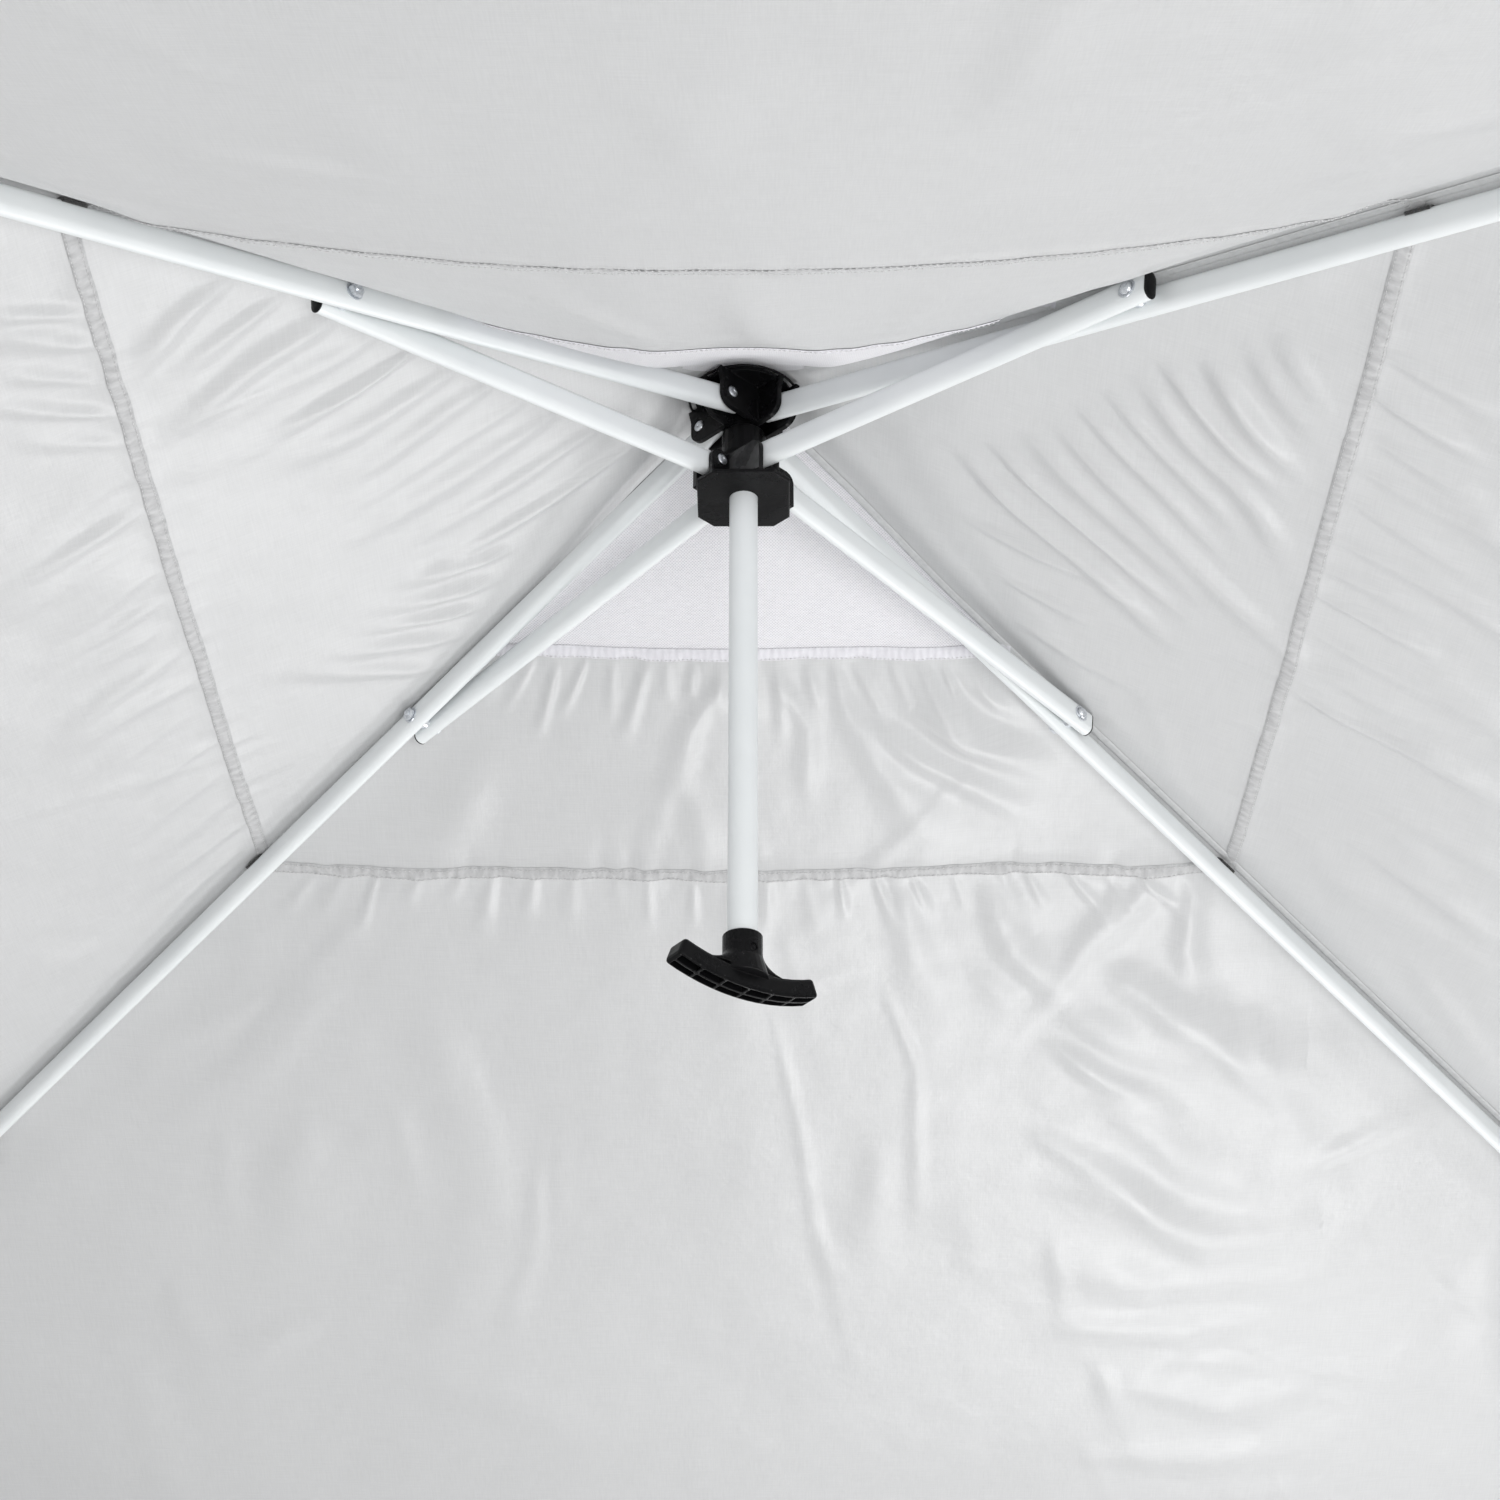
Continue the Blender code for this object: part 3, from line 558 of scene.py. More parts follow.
def folds_of(slope):
    """Every fold of one slope: the fans, the creases and the strays, as arguments of fold_depth."""
    random = np.random.default_rng(SLOPES.index(slope) + 11)
    made = []
    for starts, ends, count, width, depth in FANS[slope]:
        for share in np.linspace(0, 1, count):
            start = MM * (np.multiply(starts[0], 1 - share) + np.multiply(starts[1], share))
            end = MM * (np.multiply(ends[0], 1 - share) + np.multiply(ends[1], share))
            end = start + (end - start) * random.uniform(0.65, 1.15) + random.normal(0, 0.006, 2)
            start = start + random.normal(0, 0.003, 2)
            wide, deep = random.uniform(0.75, 1.3) * width, random.uniform(0.5, 1.3) * depth
            made.append((np.array((start, end)), MM * wide, MM * deep))
    made += [(MM * np.array(points), MM * width, MM * depth) for points, width, depth in CREASES[slope]]
    for _ in range(STRAY_FOLDS[slope]):
        a = random.uniform(0.30, 1.42)
        t = random.uniform(-0.9, 0.9) * a
        turn = math.atan2(t, a) * 0.8 + random.normal(0, 0.55)
        length = random.uniform(0.08, 0.34)
        end = (a + length * math.cos(turn), t + length * math.sin(turn))
        width = random.uniform(0.010, 0.034)
        made.append((np.array(((a, t), end)), width, width * random.uniform(0.04, 0.13)))
    return made


FOLDS = {slope: folds_of(slope) for slope in SLOPES}


def sag_depth(slope, a, t):
    """How far the cloth of one slope hangs under a flat one, clear of the tubes beside it."""
    peak, lean, run_in = SAG[slope]
    clear = smooth_step(((a - np.abs(t)) / ROOT_2 - 0.011) / run_in)
    deep = np.sin(np.pi * np.clip(a / EAVE, 0, 1) ** lean)
    sag = peak * deep * (1 - (t / np.maximum(a, 1e-6)) ** 2) * clear
    return sag + RIB_REST * smooth_step((a - 0.08) / 0.10) * smooth_step((1.35 - a) / 0.5)


def seam_puckers(slope, a, t):
    """How far the cloth hangs lower at the ring seam, in the gathers beside it, and at the vent's hem."""
    seed, loose = 10 * SLOPES.index(slope), ROUGHNESS[slope]
    past_ring = a - RING_A[slope]
    pucker = np.where(past_ring < 0, wander(t, 0.013, seed + 3), wander(t, 0.017, seed + 4))
    depth = loose * 0.0014 * np.exp(-np.abs(past_ring) / 0.020) * pucker
    depth = depth + 0.0018 * np.exp(-((past_ring / 0.010) ** 2))
    if slope in ("front", "back"):
        past_hem = np.exp(-np.maximum(a - HEM_A, 0) / 0.035) * (a > HEM_A)
        depth = depth + loose * 0.0016 * past_hem * wander(t, 0.016, seed + 5)
    return depth


def slope_z(slope, a, t):
    """Height of the cloth on one slope. Its folds wander, and thin ones stay nearly straight."""
    seed = 10 * SLOPES.index(slope)
    waves = 0.0030 * rumple(a, t, 0.24, seed) + 0.0014 * rumple(a, t, 0.085, seed + 1)
    waves = ROUGHNESS[slope] * (waves + 0.00040 * rumple(a, t, 0.028, seed + 2))
    drift_a, drift_t = rumple(a, t, 0.07, seed + 6), rumple(a, t, 0.07, seed + 7)
    for points, width, depth in FOLDS[slope]:
        reach = 0.008 * min(1, (width / 0.016) ** 2)
        waves = waves + fold_depth(a + reach * drift_a, t + reach * drift_t, points, width, depth)
    waves = waves + seam_puckers(slope, a, t)
    beside = (a - np.abs(t)) / ROOT_2
    edge = smooth_step(beside / 0.045) * smooth_step((EAVE - a) / 0.06) * smooth_step(a / 0.15)
    return ROOF_TOP - ROOF_FALL * a - sag_depth(slope, a, t) - waves * edge


def over_cap(r, edge=0.05):
    """Height of cloth that rests on the hub's domed cap and falls away past its edge."""
    crown = HUB_Z + 0.0350 - 0.0095 * (np.minimum(r, edge) / 0.04) ** 2
    return crown - 0.75 * np.maximum(r - edge, 0)


def roof_z(x, y):
    """Height of the roof cloth at plan places."""
    x, y = np.broadcast_arrays(np.asarray(x, float), np.asarray(y, float))
    z = np.empty(x.shape)
    side_on = np.abs(x) >= np.abs(y)
    owner = np.where(side_on, np.where(x >= 0, 0, 2), np.where(y >= 0, 1, 3))
    for index, slope in enumerate(SLOPES):
        mine = owner == index
        turn = index * math.pi / 2
        a = x[mine] * math.cos(turn) + y[mine] * math.sin(turn)
        t = y[mine] * math.cos(turn) - x[mine] * math.sin(turn)
        z[mine] = slope_z(slope, a, t)
    cap = over_cap(np.hypot(x, y))
    return 0.5 * (z + cap + np.sqrt((z - cap) ** 2 + 0.003 ** 2))


def plan(slope_index, a, t):
    """Plan x and y of a place on a slope."""
    turn = slope_index * math.pi / 2
    return a * np.cos(turn) - t * np.sin(turn), a * np.sin(turn) + t * np.cos(turn)


def cloth_normals(x, y, height):
    """Upward normals of a surface z = height(x, y), so that parted cloth still shades as one."""
    step = 0.0012
    dx = (height(x + step, y) - height(x - step, y)) / (2 * step)
    dy = (height(x, y + step) - height(x, y - step)) / (2 * step)
    normal = np.stack([-dx, -dy, np.ones_like(dx)], -1)
    return normal / np.linalg.norm(normal, axis=-1, keepdims=True)


def set_weave(obj, along, across):
    """Each point's place in the cloth as cut, for the weave."""
    values = np.stack([along.ravel(), across.ravel(), np.zeros(along.size)], 1).astype(np.float32)
    attribute = obj.data.attributes.new("weave", "FLOAT_VECTOR", "POINT")
    attribute.data.foreach_set("vector", values.ravel())


def cloth_grid(name, x, y, height, along, across, look):
    """A single layer of cloth over a grid of plan places."""
    points = np.stack([x, y, height(x, y)], -1).reshape(-1, 3)
    made = mesh_object(name, points, grid_faces(*x.shape), look)
    made.data.normals_split_custom_set_from_vertices(cloth_normals(x, y, height).reshape(-1, 3).tolist())
    set_weave(made, along, across)
    return made


def quadrant_grid(number, low, high, rows, columns, crowd=1.0, sides=(0, 1)):
    """Plan places, and places in the cut cloth, over one corner's quadrant.

    low and high give the plan distance from the hub where rows start and end, for s from 0 at a
    slope's middle to 1 at the ridge. sides picks the slopes: 0 before the ridge, 1 after it. A crowd
    above 1 packs the rows towards low.
    """
    spread = np.linspace(0, 1, columns + 1)
    before = [(number - 1, s) for s in spread] if 0 in sides else []
    after = [(number % 4, -s) for s in spread[::-1]] if 1 in sides else []
    lanes = np.array(before + (after[1:] if before else after))
    share = (np.linspace(0, 1, rows + 1) ** crowd)[:, None]
    near, far = low(np.abs(lanes[:, 1])), high(np.abs(lanes[:, 1]))
    a = near + (far - near) * share
    t = lanes[:, 1] * a
    x, y = plan(lanes[:, 0], a, t)
    return x, y, t, a * SLANT


def at_distance(value):
    return lambda s: value + 0 * s


def at_split(s):
    return SPLIT / (1 + s)


def gathered(pieces, number, kind="inner_rib"):
    """The pieces follow a rib, each with a mesh of its own."""
    for piece in pieces:
        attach(piece, f"{kind}_{number}")
        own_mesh(piece)


def run_along(line):
    """Distance along a line at each of its points."""
    return np.r_[0, np.cumsum(np.hypot(*np.diff(line, axis=0).T))]


# --- tape, hems and stitches on the cloth ---


def tape_on(name, lines, width, drop, look, height=roof_z):
    """Flat tape under the cloth along plan lines, each a (points, sideways) pair of arrays."""
    profile = np.array((-0.5, -0.46, -0.16, 0.16, 0.46, 0.5))
    depth = np.array((0.0002, 0.75, 1.0, 1.0, 0.75, 0.0002)) * TAPE_THICK + drop
    points, faces, along, across = [], [], [], []
    for line, sideways in lines:
        x = line[:, None, 0] + sideways[:, None, 0] * profile * width
        y = line[:, None, 1] + sideways[:, None, 1] * profile * width
        z = height(x, y) - depth
        faces += grid_faces(*x.shape, first=sum(len(p) for p in points))
        points.append(np.stack([x, y, z], -1).reshape(-1, 3))
        run = run_along(line)
        along.append(np.broadcast_to(run[:, None], x.shape).ravel())
        across.append(np.broadcast_to(profile * width, x.shape).ravel())
    made = mesh_object(name, np.concatenate(points), faces, look)
    set_weave(made, np.concatenate(along), np.concatenate(across))
    return made


def stitches_on(name, lines, offsets, rise, pitch=0.0042, height=roof_z, gauge=0.00042):
    """Rows of thread along plan lines, at sideways offsets; rise puts them over or under the cloth."""
    points = []
    for line, sideways in lines:
        run = run_along(line)
        starts = np.arange(0.3 * pitch, run[-1] - pitch, pitch)
        for offset in offsets:
            path = line + sideways * offset
            ends = [np.stack([np.interp(starts + step, run, path[:, i]) for i in (0, 1)], 1)
                    for step in (0, 0.74 * pitch)]
            tips = [np.c_[end, height(end[:, 0], end[:, 1]) + rise] for end in ends]
            middle = (tips[0] + tips[1]) / 2
            way = tips[1] - tips[0]
            side = np.cross(way, (0, 0, 1))
            side /= np.linalg.norm(side, axis=1, keepdims=True)
            up = np.array((0, 0, gauge * 1.4))
            points.append(np.stack([tips[0], middle + side * gauge, middle + up, middle - side * gauge,
                                    middle - up, tips[1]], 1))
    spindles = np.concatenate(points)
    base = np.arange(len(spindles))[:, None, None] * 6
    turns = ((1, 2), (2, 3), (3, 4), (4, 1))
    ring = np.array([(0, i, j) for i, j in turns] + [(5, j, i) for i, j in turns])
    faces = (base + ring[None]).reshape(-1, 3).tolist()
    return mesh_object(name, spindles.reshape(-1, 3), faces, THREAD)


def slope_line(number, a, margin=0.0, step=0.0025):
    """The two plan lines at one distance from the hub, from mid slope to ridge, in one quadrant."""
    lines = []
    for index, sign in ((number - 1, 1), (number % 4, -1)):
        t = np.linspace(0, a - margin, int(a / step))
        line = np.stack(plan(index, a + 0 * t, sign * t), 1)
        out = np.array(plan(index, 1.0, 0.0))
        lines.append((line, np.broadcast_to(out, line.shape)))
    return lines


def ring_lines(number):
    """The two plan lines of the ring seam in one quadrant."""
    slopes = (SLOPES[number - 1], SLOPES[number % 4])
    return [slope_line(number, RING_A[slope])[place] for place, slope in enumerate(slopes)]


def ridge_line(number, low, high, step=0.004):
    """The plan line of a ridge between two distances u along it."""
    u = np.linspace(low, high, int((high - low) / step))
    way = np.array((corner(number) @ Vector((1, 0, 0)))[:2])
    side = np.array((corner(number) @ Vector((0, 1, 0)))[:2])
    line = u[:, None] * way
    return [(line, np.broadcast_to(side, line.shape))]


# --- the roof ---


def inner_cloth(number):
    """Main cloth of one quadrant, from the hub or the vent's hem to the ribs' middle pivot."""
    x, y, along, across = quadrant_grid(number, at_distance(HEM_A), at_split, 225, 160, 1.15)
    lower = cloth_grid(f"cloth_inner_{number}", x, y, roof_z, along, across, CLOTH)
    plain = 1 - number % 2  # the slope without a vent
    low, high = at_distance(APEX_A), at_distance(HEM_A)
    x, y, along, across = quadrant_grid(number, low, high, 60, 160, 1.0, (plain,))
    upper = cloth_grid("upper", x, y, roof_z, along, across, CLOTH)
    return joined(f"cloth_inner_{number}", [lower, upper])


def vent(number):
    """Half of a vent: the mesh on the slope of this quadrant that has one."""
    low, high = at_distance(APEX_A), at_distance(HEM_A + 0.004)
    x, y, along, across = quadrant_grid(number, low, high, 60, 80, 1.0, (number % 2,))
    return cloth_grid(f"vent_mesh_{number}", x, y, roof_z, along, across, MESH)


def ring_tape(number):
    """The felled ring seam: a band on three slopes, and only its stitched edge on the front one."""
    bands = []
    for index, line in zip((number - 1, number % 4), ring_lines(number)):
        width = FRONT_RING_WIDTH if SLOPES[index] == "front" else RING_WIDTH
        bands.append(tape_on(f"ring_band_{index}", [line], width, TAPE_GAP, SEAM))
    return joined(f"ring_seam_{number}", bands)


def roof_quadrant(number):
    """Cloth, mesh, seams and stitches that gather on one inner rib."""
    cloth = inner_cloth(number)
    mesh = vent(number)
    hem_line = [slope_line(number, HEM_A)[number % 2]]
    hem = tape_on(f"vent_hem_{number}", hem_line, HEM_WIDTH, 1.5 * TAPE_GAP, HEM)
    ring = ring_tape(number)
    ridge_run = ridge_line(number, 0.07, SPLIT / ROOT_2)
    ridge = tape_on(f"ridge_seam_{number}", ridge_run, RIDGE_WIDTH, TAPE_GAP, RIDGE)
    rows = (-0.36 * RING_WIDTH, 0.36 * RING_WIDTH)
    under = stitches_on(f"ring_stitches_{number}", ring_lines(number), rows, -0.0016, gauge=0.00034)
    over = stitches_on(f"ring_topstitch_{number}", ring_lines(number), rows, ON_TOP)
    hem_row = stitches_on(f"hem_stitches_{number}", hem_line, (0.0034,), -0.0019, 0.0036)
    ridge_rows = stitches_on(f"ridge_stitches_{number}", ridge_run, RIDGE_ROWS, 0.0005)
    gathered([mesh, hem], number)
    gathered([cloth, ring, ridge, under, over, hem_row, ridge_rows], number)


def valance_place(number, run, depth):
    """Valance points: run goes from -EAVE at one slope's middle, over 0 at the corner, to EAVE."""
    first = run < 0
    t = np.where(first, EAVE + run, EAVE - run)
    flutter = 0.0045 * wander(run, 0.33, 70 + number) + 0.0022 * wander(run, 0.09, 80 + number)
    flutter = flutter * smooth_step(depth / VALANCE_FLAT) * smooth_step(np.abs(run) / 0.08)
    flutter = flutter * smooth_step((EAVE - np.abs(run)) / 0.03) - 0.0015
    ax, ay = plan(number - 1, EAVE + flutter, np.minimum(t, EAVE + flutter))
    bx, by = plan(number, EAVE + flutter, -np.minimum(t, EAVE + flutter))
    x, y = np.where(first, ax, bx), np.where(first, ay, by)
    eave_z = ROOF_TOP - ROOF_FALL * EAVE
    scallop = 0.0015 * wander(run, 0.21, 90 + number) * smooth_step(depth / VALANCE_FLAT)
    return np.stack([x, y, eave_z - depth + scallop], -1)


def valance(number):
    """The vertical skirt of one quadrant, and its turned-up hem, which bellies inward."""
    drop = ROOF_TOP - ROOF_FALL * EAVE - VALANCE_BOTTOM - 0.003
    strips = []
    for kind, top, rows in (("valance", 0, 31), ("valance_hem", drop - VALANCE_HEM, 7)):
        run, depth = np.meshgrid(np.linspace(-EAVE, EAVE, 401), np.linspace(top, drop, rows))
        points = valance_place(number, run, depth)
        if kind == "valance_hem":
            pull = 0.0012 * np.sin(np.pi * np.linspace(0, 1, rows))[:, None, None] + 0.0003
            points[..., :2] *= 1 - pull / EAVE
        strip = mesh_object(f"{kind}_{number}", points.reshape(-1, 3), grid_faces(*run.shape), CLOTH)
        set_weave(strip, run, depth)
        strips.append(strip)
    return strips


def outer_quadrant(number):
    """Cloth and valance that gather on one outer rib."""
    x, y, along, across = quadrant_grid(number, at_split, at_distance(EAVE), 80, 140)
    cloth = cloth_grid(f"cloth_outer_{number}", x, y, roof_z, along, across, CLOTH)
    skirt, turned_up = valance(number)
    line = ridge_line(number, SPLIT / ROOT_2, EAVE * ROOT_2 - 0.02)
    ridge = tape_on(f"ridge_seam_outer_{number}", line, RIDGE_WIDTH, TAPE_GAP, RIDGE)
    rows = stitches_on(f"ridge_stitches_outer_{number}", line, RIDGE_ROWS, 0.0005, LONG_STITCH)
    eave_line = slope_line(number, EAVE - 0.008, 0.01, 0.01)
    eave_rows = stitches_on(f"eave_stitches_{number}", eave_line, (0.0, 0.004), ON_TOP, LONG_STITCH)
    gathered([cloth, skirt, turned_up, ridge, rows, eave_rows], number, "outer_rib")


def cap_z(x, y):
    """Height of the small raised cover over the vents."""
    a = np.maximum(np.abs(x), np.abs(y))
    t = np.minimum(np.abs(x), np.abs(y))
    base = ROOF_TOP + 0.030 - ROOF_FALL * a
    slack = 0.010 * (1 - (t / np.maximum(a, 1e-6)) ** 2) * (a / CAP_HALF) ** 1.5
    waves = 0.0016 * rumple(x, y, 0.07, 401) * smooth_step((CAP_HALF - a) / 0.04)
    return base - slack - waves * smooth_step((a - t) / 0.04)


def vent_cover(number):
    """One quadrant of the cover, its bound edge, and the strap that ties its corner down."""
    x, y, along, across = quadrant_grid(number, at_distance(0.004), at_distance(CAP_HALF), 60, 50)
    cloth = cloth_grid(f"vent_cover_{number}", x, y, cap_z, along, across, CLOTH)
    edge = slope_line(number, CAP_HALF - 0.007, 0.0, 0.006)
    binding = tape_on(f"vent_cover_binding_{number}", edge, BINDING_WIDTH, TAPE_GAP, SEAM, cap_z)
    rows = stitches_on(f"vent_cover_stitches_{number}", edge, (-0.004,), ON_TOP, LONG_STITCH, cap_z)
    line = ridge_line(number, 0.02, CAP_HALF * ROOT_2 - 0.02)
    ridge = stitches_on(f"vent_cover_ridge_{number}", line, (-0.005, 0.005), 0.0005, LONG_STITCH, cap_z)
    trims = [binding, rows, ridge, corner_strap(number)]
    gathered([cloth, *trims], number)


def corner_strap(number, rows=25, columns=7):
    """Webbing from the cover's corner down to the roof's ridge."""
    share = np.linspace(0, 1, rows)
    u = CAP_HALF * ROOT_2 - 0.030 + 0.085 * share
    way = corner(number) @ Vector((1, 0, 0))
    high = cap_z(u * way.x, u * way.y) - 0.001
    low = roof_z(u * way.x, u * way.y) + 0.0015
    z = high + (low - high) * smooth_step(share * 1.25)
    v = np.linspace(-0.010, 0.010, columns)
    points = [corner(number) @ Vector((p, q, h + 0.0002)) for p, h in zip(u, z) for q in v]
    strap = mesh_object(f"vent_cover_strap_{number}", points, grid_faces(rows, columns), SEAM)
    set_weave(strap, np.repeat(u, columns), np.tile(v, rows))
    return strap


def rib_tab(number):
    """Hook-and-loop pad on top of the rib where the ring seam meets the ridge."""
    middle, half = RING_A["front"] * ROOT_2, 0.0065
    u, v = np.meshgrid(np.linspace(middle - TAB_LENGTH / 2, middle + TAB_LENGTH / 2, 13),
                       np.linspace(-half, half, 9))
    rib_top = HUB_Z - math.tan(RIB_SLOPE) * (u - HUB_PIN.x) + RIB_DEPTH / 2 / math.cos(RIB_SLOPE)
    z = rib_top + 0.0009 - 0.0040 * (v / half) ** 2
    places = np.stack([u, RIB_SIDE + v, z], -1).reshape(-1, 3)
    points = [corner(number) @ Vector(place) for place in places]
    made = mesh_object(f"rib_tab_{number}", points, grid_faces(*u.shape), TAB)
    thicken = made.modifiers.new("Thickness", "SOLIDIFY")
    thicken.thickness = TAB_THICK
    thicken.offset = 0
    applied(made)
    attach(made, f"inner_rib_{number}")


def apex_patch(size=0.052):
    """Round reinforcing patch over the hub's cap."""
    radius, turn = np.meshgrid(np.linspace(0.0, size, 14), np.linspace(0, 2 * math.pi, 73))
    x, y = radius * np.cos(turn), radius * np.sin(turn)
    z = roof_z(x, y) + 0.0012
    bm = bmesh.new()
    verts = [bm.verts.new(p) for p in np.stack([x, y, z], -1).reshape(-1, 3)]
    for face in grid_faces(*x.shape):
        bm.faces.new([verts[i] for i in face])
    bmesh.ops.remove_doubles(bm, verts=bm.verts, dist=1e-5)
    patch = from_bmesh("apex_patch", bm, CLOTH)
    flat = np.array([v.co for v in patch.data.vertices])
    set_weave(patch, flat[:, 0], flat[:, 1])
    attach(patch, "hub")


def roof():
    for number in CORNERS:
        roof_quadrant(number)
        outer_quadrant(number)
        vent_cover(number)
        rib_tab(number)
    apex_patch()
    slopes = [f"roof_panel_{slope}" for slope in SLOPES]
    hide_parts(*slopes)
    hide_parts("vent_mesh_front", "vent_mesh_back")
    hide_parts("vent_cap")


# --- tubes ---


def ring_oval(inset, steps=14):
    """Flat-oval outline of the rib tube, pulled in by inset."""
    radius = RIB_WIDTH / 2 - inset
    rise = (RIB_DEPTH - RIB_WIDTH) / 2
    top = [(radius * math.cos(t), rise + radius * math.sin(t)) for t in np.linspace(0, math.pi, steps)]
    return top + [(-y, -z) for y, z in top]


def ring_square(size, radius, steps=6):
    """Returns the outline function of a square tube with rounded corners."""
    def outline(inset):
        r = max(radius - inset, 0.0003)
        reach = size / 2 - inset - r
        points = []
        for quarter in range(4):
            centre = Matrix.Rotation(quarter * math.pi / 2, 2) @ Vector((reach, reach))
            turns = np.linspace(quarter * math.pi / 2, (quarter + 1) * math.pi / 2, steps)
            points += [(centre.x + r * math.cos(t), centre.y + r * math.sin(t)) for t in turns]
        return points
    return outline


def ring_round(radius, steps=48):
    return lambda inset: circle(radius - inset, steps)


def sleeve(outline, start, end, wall, axis="X", lip=0.0003):
    """A tube with its outline in the other two axes and softened ends."""
    sections = [(start + lip, 0), (end - lip, 0), (end, lip), (end, wall - lip)]
    sections += [(end - lip, wall), (start + lip, wall), (start, wall - lip), (start, lip)]
    rings = []
    for along, inset in sections:
        rings.append([(along, *p) if axis == "X" else (*p, along) for p in outline(inset)])
    return shell(rings, closed=True)


def plug(outline, at_x, out, proud=0.0022, deep=0.012):
    """A moulded end plug: a domed lip over the tube's mouth and a spigot inside it. out is 1 or -1."""
    spigot = RIB_WALL + 0.0003
    sections = [(-deep, spigot), (0.0002, spigot), (0.0002, -0.0001)]
    sections += [(0.4 * proud, 0.0), (0.8 * proud, 0.0012), (proud, 0.0034)]
    rings = [[(at_x + out * x, *p) for p in outline(inset)] for x, inset in sections]
    return shell(rings, capped=True)


def lathe(profile, steps=32, axis="Z"):
    """A solid of revolution from (radius, height) points, closed on the axis."""
    bm = bmesh.new()
    swing = Matrix() if axis == "Z" else Matrix.Rotation(-math.pi / 2, 4, "X")
    turns = np.linspace(0, 2 * math.pi, steps, endpoint=False)
    rings = []
    for radius, height in profile:
        count = 1 if radius < 1e-9 else steps
        rings.append([bm.verts.new(swing @ Vector((radius * math.cos(t), radius * math.sin(t), height)))
                      for t in turns[:count]])
    for low, high in zip(rings, rings[1:]):
        for i in range(steps):
            j = (i + 1) % steps
            corners = [low[i % len(low)], low[j % len(low)], high[j % len(high)], high[i % len(high)]]
            unique = list(dict.fromkeys(corners))
            if len(unique) > 2:
                bm.faces.new(unique)
    return bm


def placed(piece, place, body, nodes):
    """Puts a piece in the frame, lets it ride, and hides the frame's parts that it stands in for."""
    piece.matrix_world = place
    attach(piece, body)
    if nodes:
        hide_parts(*nodes)


def at(u=0.0, v=0.0, z=0.0, pitch=0.0):
    return Matrix.Translation((u, v, z)) @ Matrix.Rotation(pitch, 4, "Y")


def in_corners(first, kind, place, body, node):
    """One piece for each corner; the copies share its mesh."""
    for number in CORNERS:
        piece = first if number == 1 else first.copy()
        piece.name = f"{kind}_{number}"
        if number > 1:
            bpy.context.scene.collection.objects.link(piece)
        nodes = [f"{node}_{number}"] if node else []
        placed(piece, corner(number) @ place, body.format(number), nodes)


def ribs():
    """Ribs and struts with their end plugs."""
    knuckle_reach = math.hypot(KNUCKLE.x - HUB_PIN.x, KNUCKLE.z - HUB_Z)
    outer_end = math.hypot(CORNER_PIN.x - KNUCKLE.x, CORNER_PIN.z - KNUCKLE.z) + 0.009
    inner_end = knuckle_reach + RIB_OVERHANG
    strut_end = STRUT_LENGTH + 0.015
    inner_place = at(HUB_PIN.x, RIB_SIDE, HUB_Z, RIB_SLOPE)
    outer_place = at(KNUCKLE.x, -RIB_SIDE, KNUCKLE.z, RIB_SLOPE)
    strut_place = at(SLIDER_PIN.x, -RIB_SIDE, SLIDER_PIN.z, STRUT_SLOPE)
    tubes = (
        ("rib_inner", "inner_rib", -0.012, inner_end, inner_place, inner_end),
        ("rib_outer", "outer_rib", -RIB_OVERHANG, outer_end, outer_place, -RIB_OVERHANG),
        ("strut_tube", "strut", -0.005, strut_end, strut_place, strut_end),
    )
    for kind, node, start, end, place, mouth in tubes:
        tube = from_bmesh(kind, sleeve(ring_oval, start, end, RIB_WALL), WHITE)
        in_corners(tube, kind, place, node + "_{}", node)
        stopper = from_bmesh(f"{kind}_plug", plug(ring_oval, mouth, 1 if mouth > 0 else -1), BLACK)
        in_corners(stopper, f"{kind}_plug", place, node + "_{}", None)


# --- pins and fasteners ---


def cross_cutter(reach, depth, face, slim=0.0006):
    """Two crossed wedges that cut a cross recess into a head whose top is at face, along +Y."""
    bm = bmesh.new()
    corners = ((-1, -1), (1, -1), (1, 1), (-1, 1))
    low = [Vector((0.35 * reach * x, face - depth, 0.5 * slim * z)) for x, z in corners]
    high = [Vector((reach * x, face + 0.001, slim * z)) for x, z in corners]
    for turn in (0, math.pi / 2):
        spin = Matrix.Rotation(turn, 4, "Y")
        shell([[spin @ p for p in ring] for ring in (low, high)], capped=True, bm=bm)
    return bm


def cut(piece, cutters, solver="EXACT"):
    """Takes cutters, given as bmeshes, out of a piece."""
    guides = []
    for index, bm in enumerate(cutters):
        guide = from_bmesh(f"{piece.name}_cutter_{index}", bm, BLACK)
        guides.append(guide)
        step = piece.modifiers.new("Cut", "BOOLEAN")
        step.operation = "DIFFERENCE"
        step.solver = solver
        step.object = guide
        step.use_self = True
    bpy.context.view_layer.update()
    applied(piece)
    for guide in guides:
        bpy.data.objects.remove(guide)
    return piece


def cross_head_screw(name, face, tip, radius, shank, dome, look):
    """A screw along +Y with a softly domed cross-recess head that sits on face."""
    rim = face + dome * 0.35
    profile = [(0, tip), (shank, tip + shank * 0.4), (shank, face), (radius, face), (radius, rim)]
    profile += domed(radius, rim, dome * 0.65, steps=7, start=0.1)
    head = from_bmesh(name, lathe(profile, 40, "Y"), look, 30)
    return cut(head, [cross_cutter(radius * 0.62, dome * 0.9, face + dome)])


def hex_nut(radius, low, high):
    """A hexagonal nut along Y with chamfered corners."""
    sections = [(radius * 0.9, low), (radius, low + 0.0004), (radius, high - 0.0006), (radius * 0.86, high)]
    return shell([[(x, height, z) for x, z in circle(reach, 6)] for reach, height in sections], capped=True)


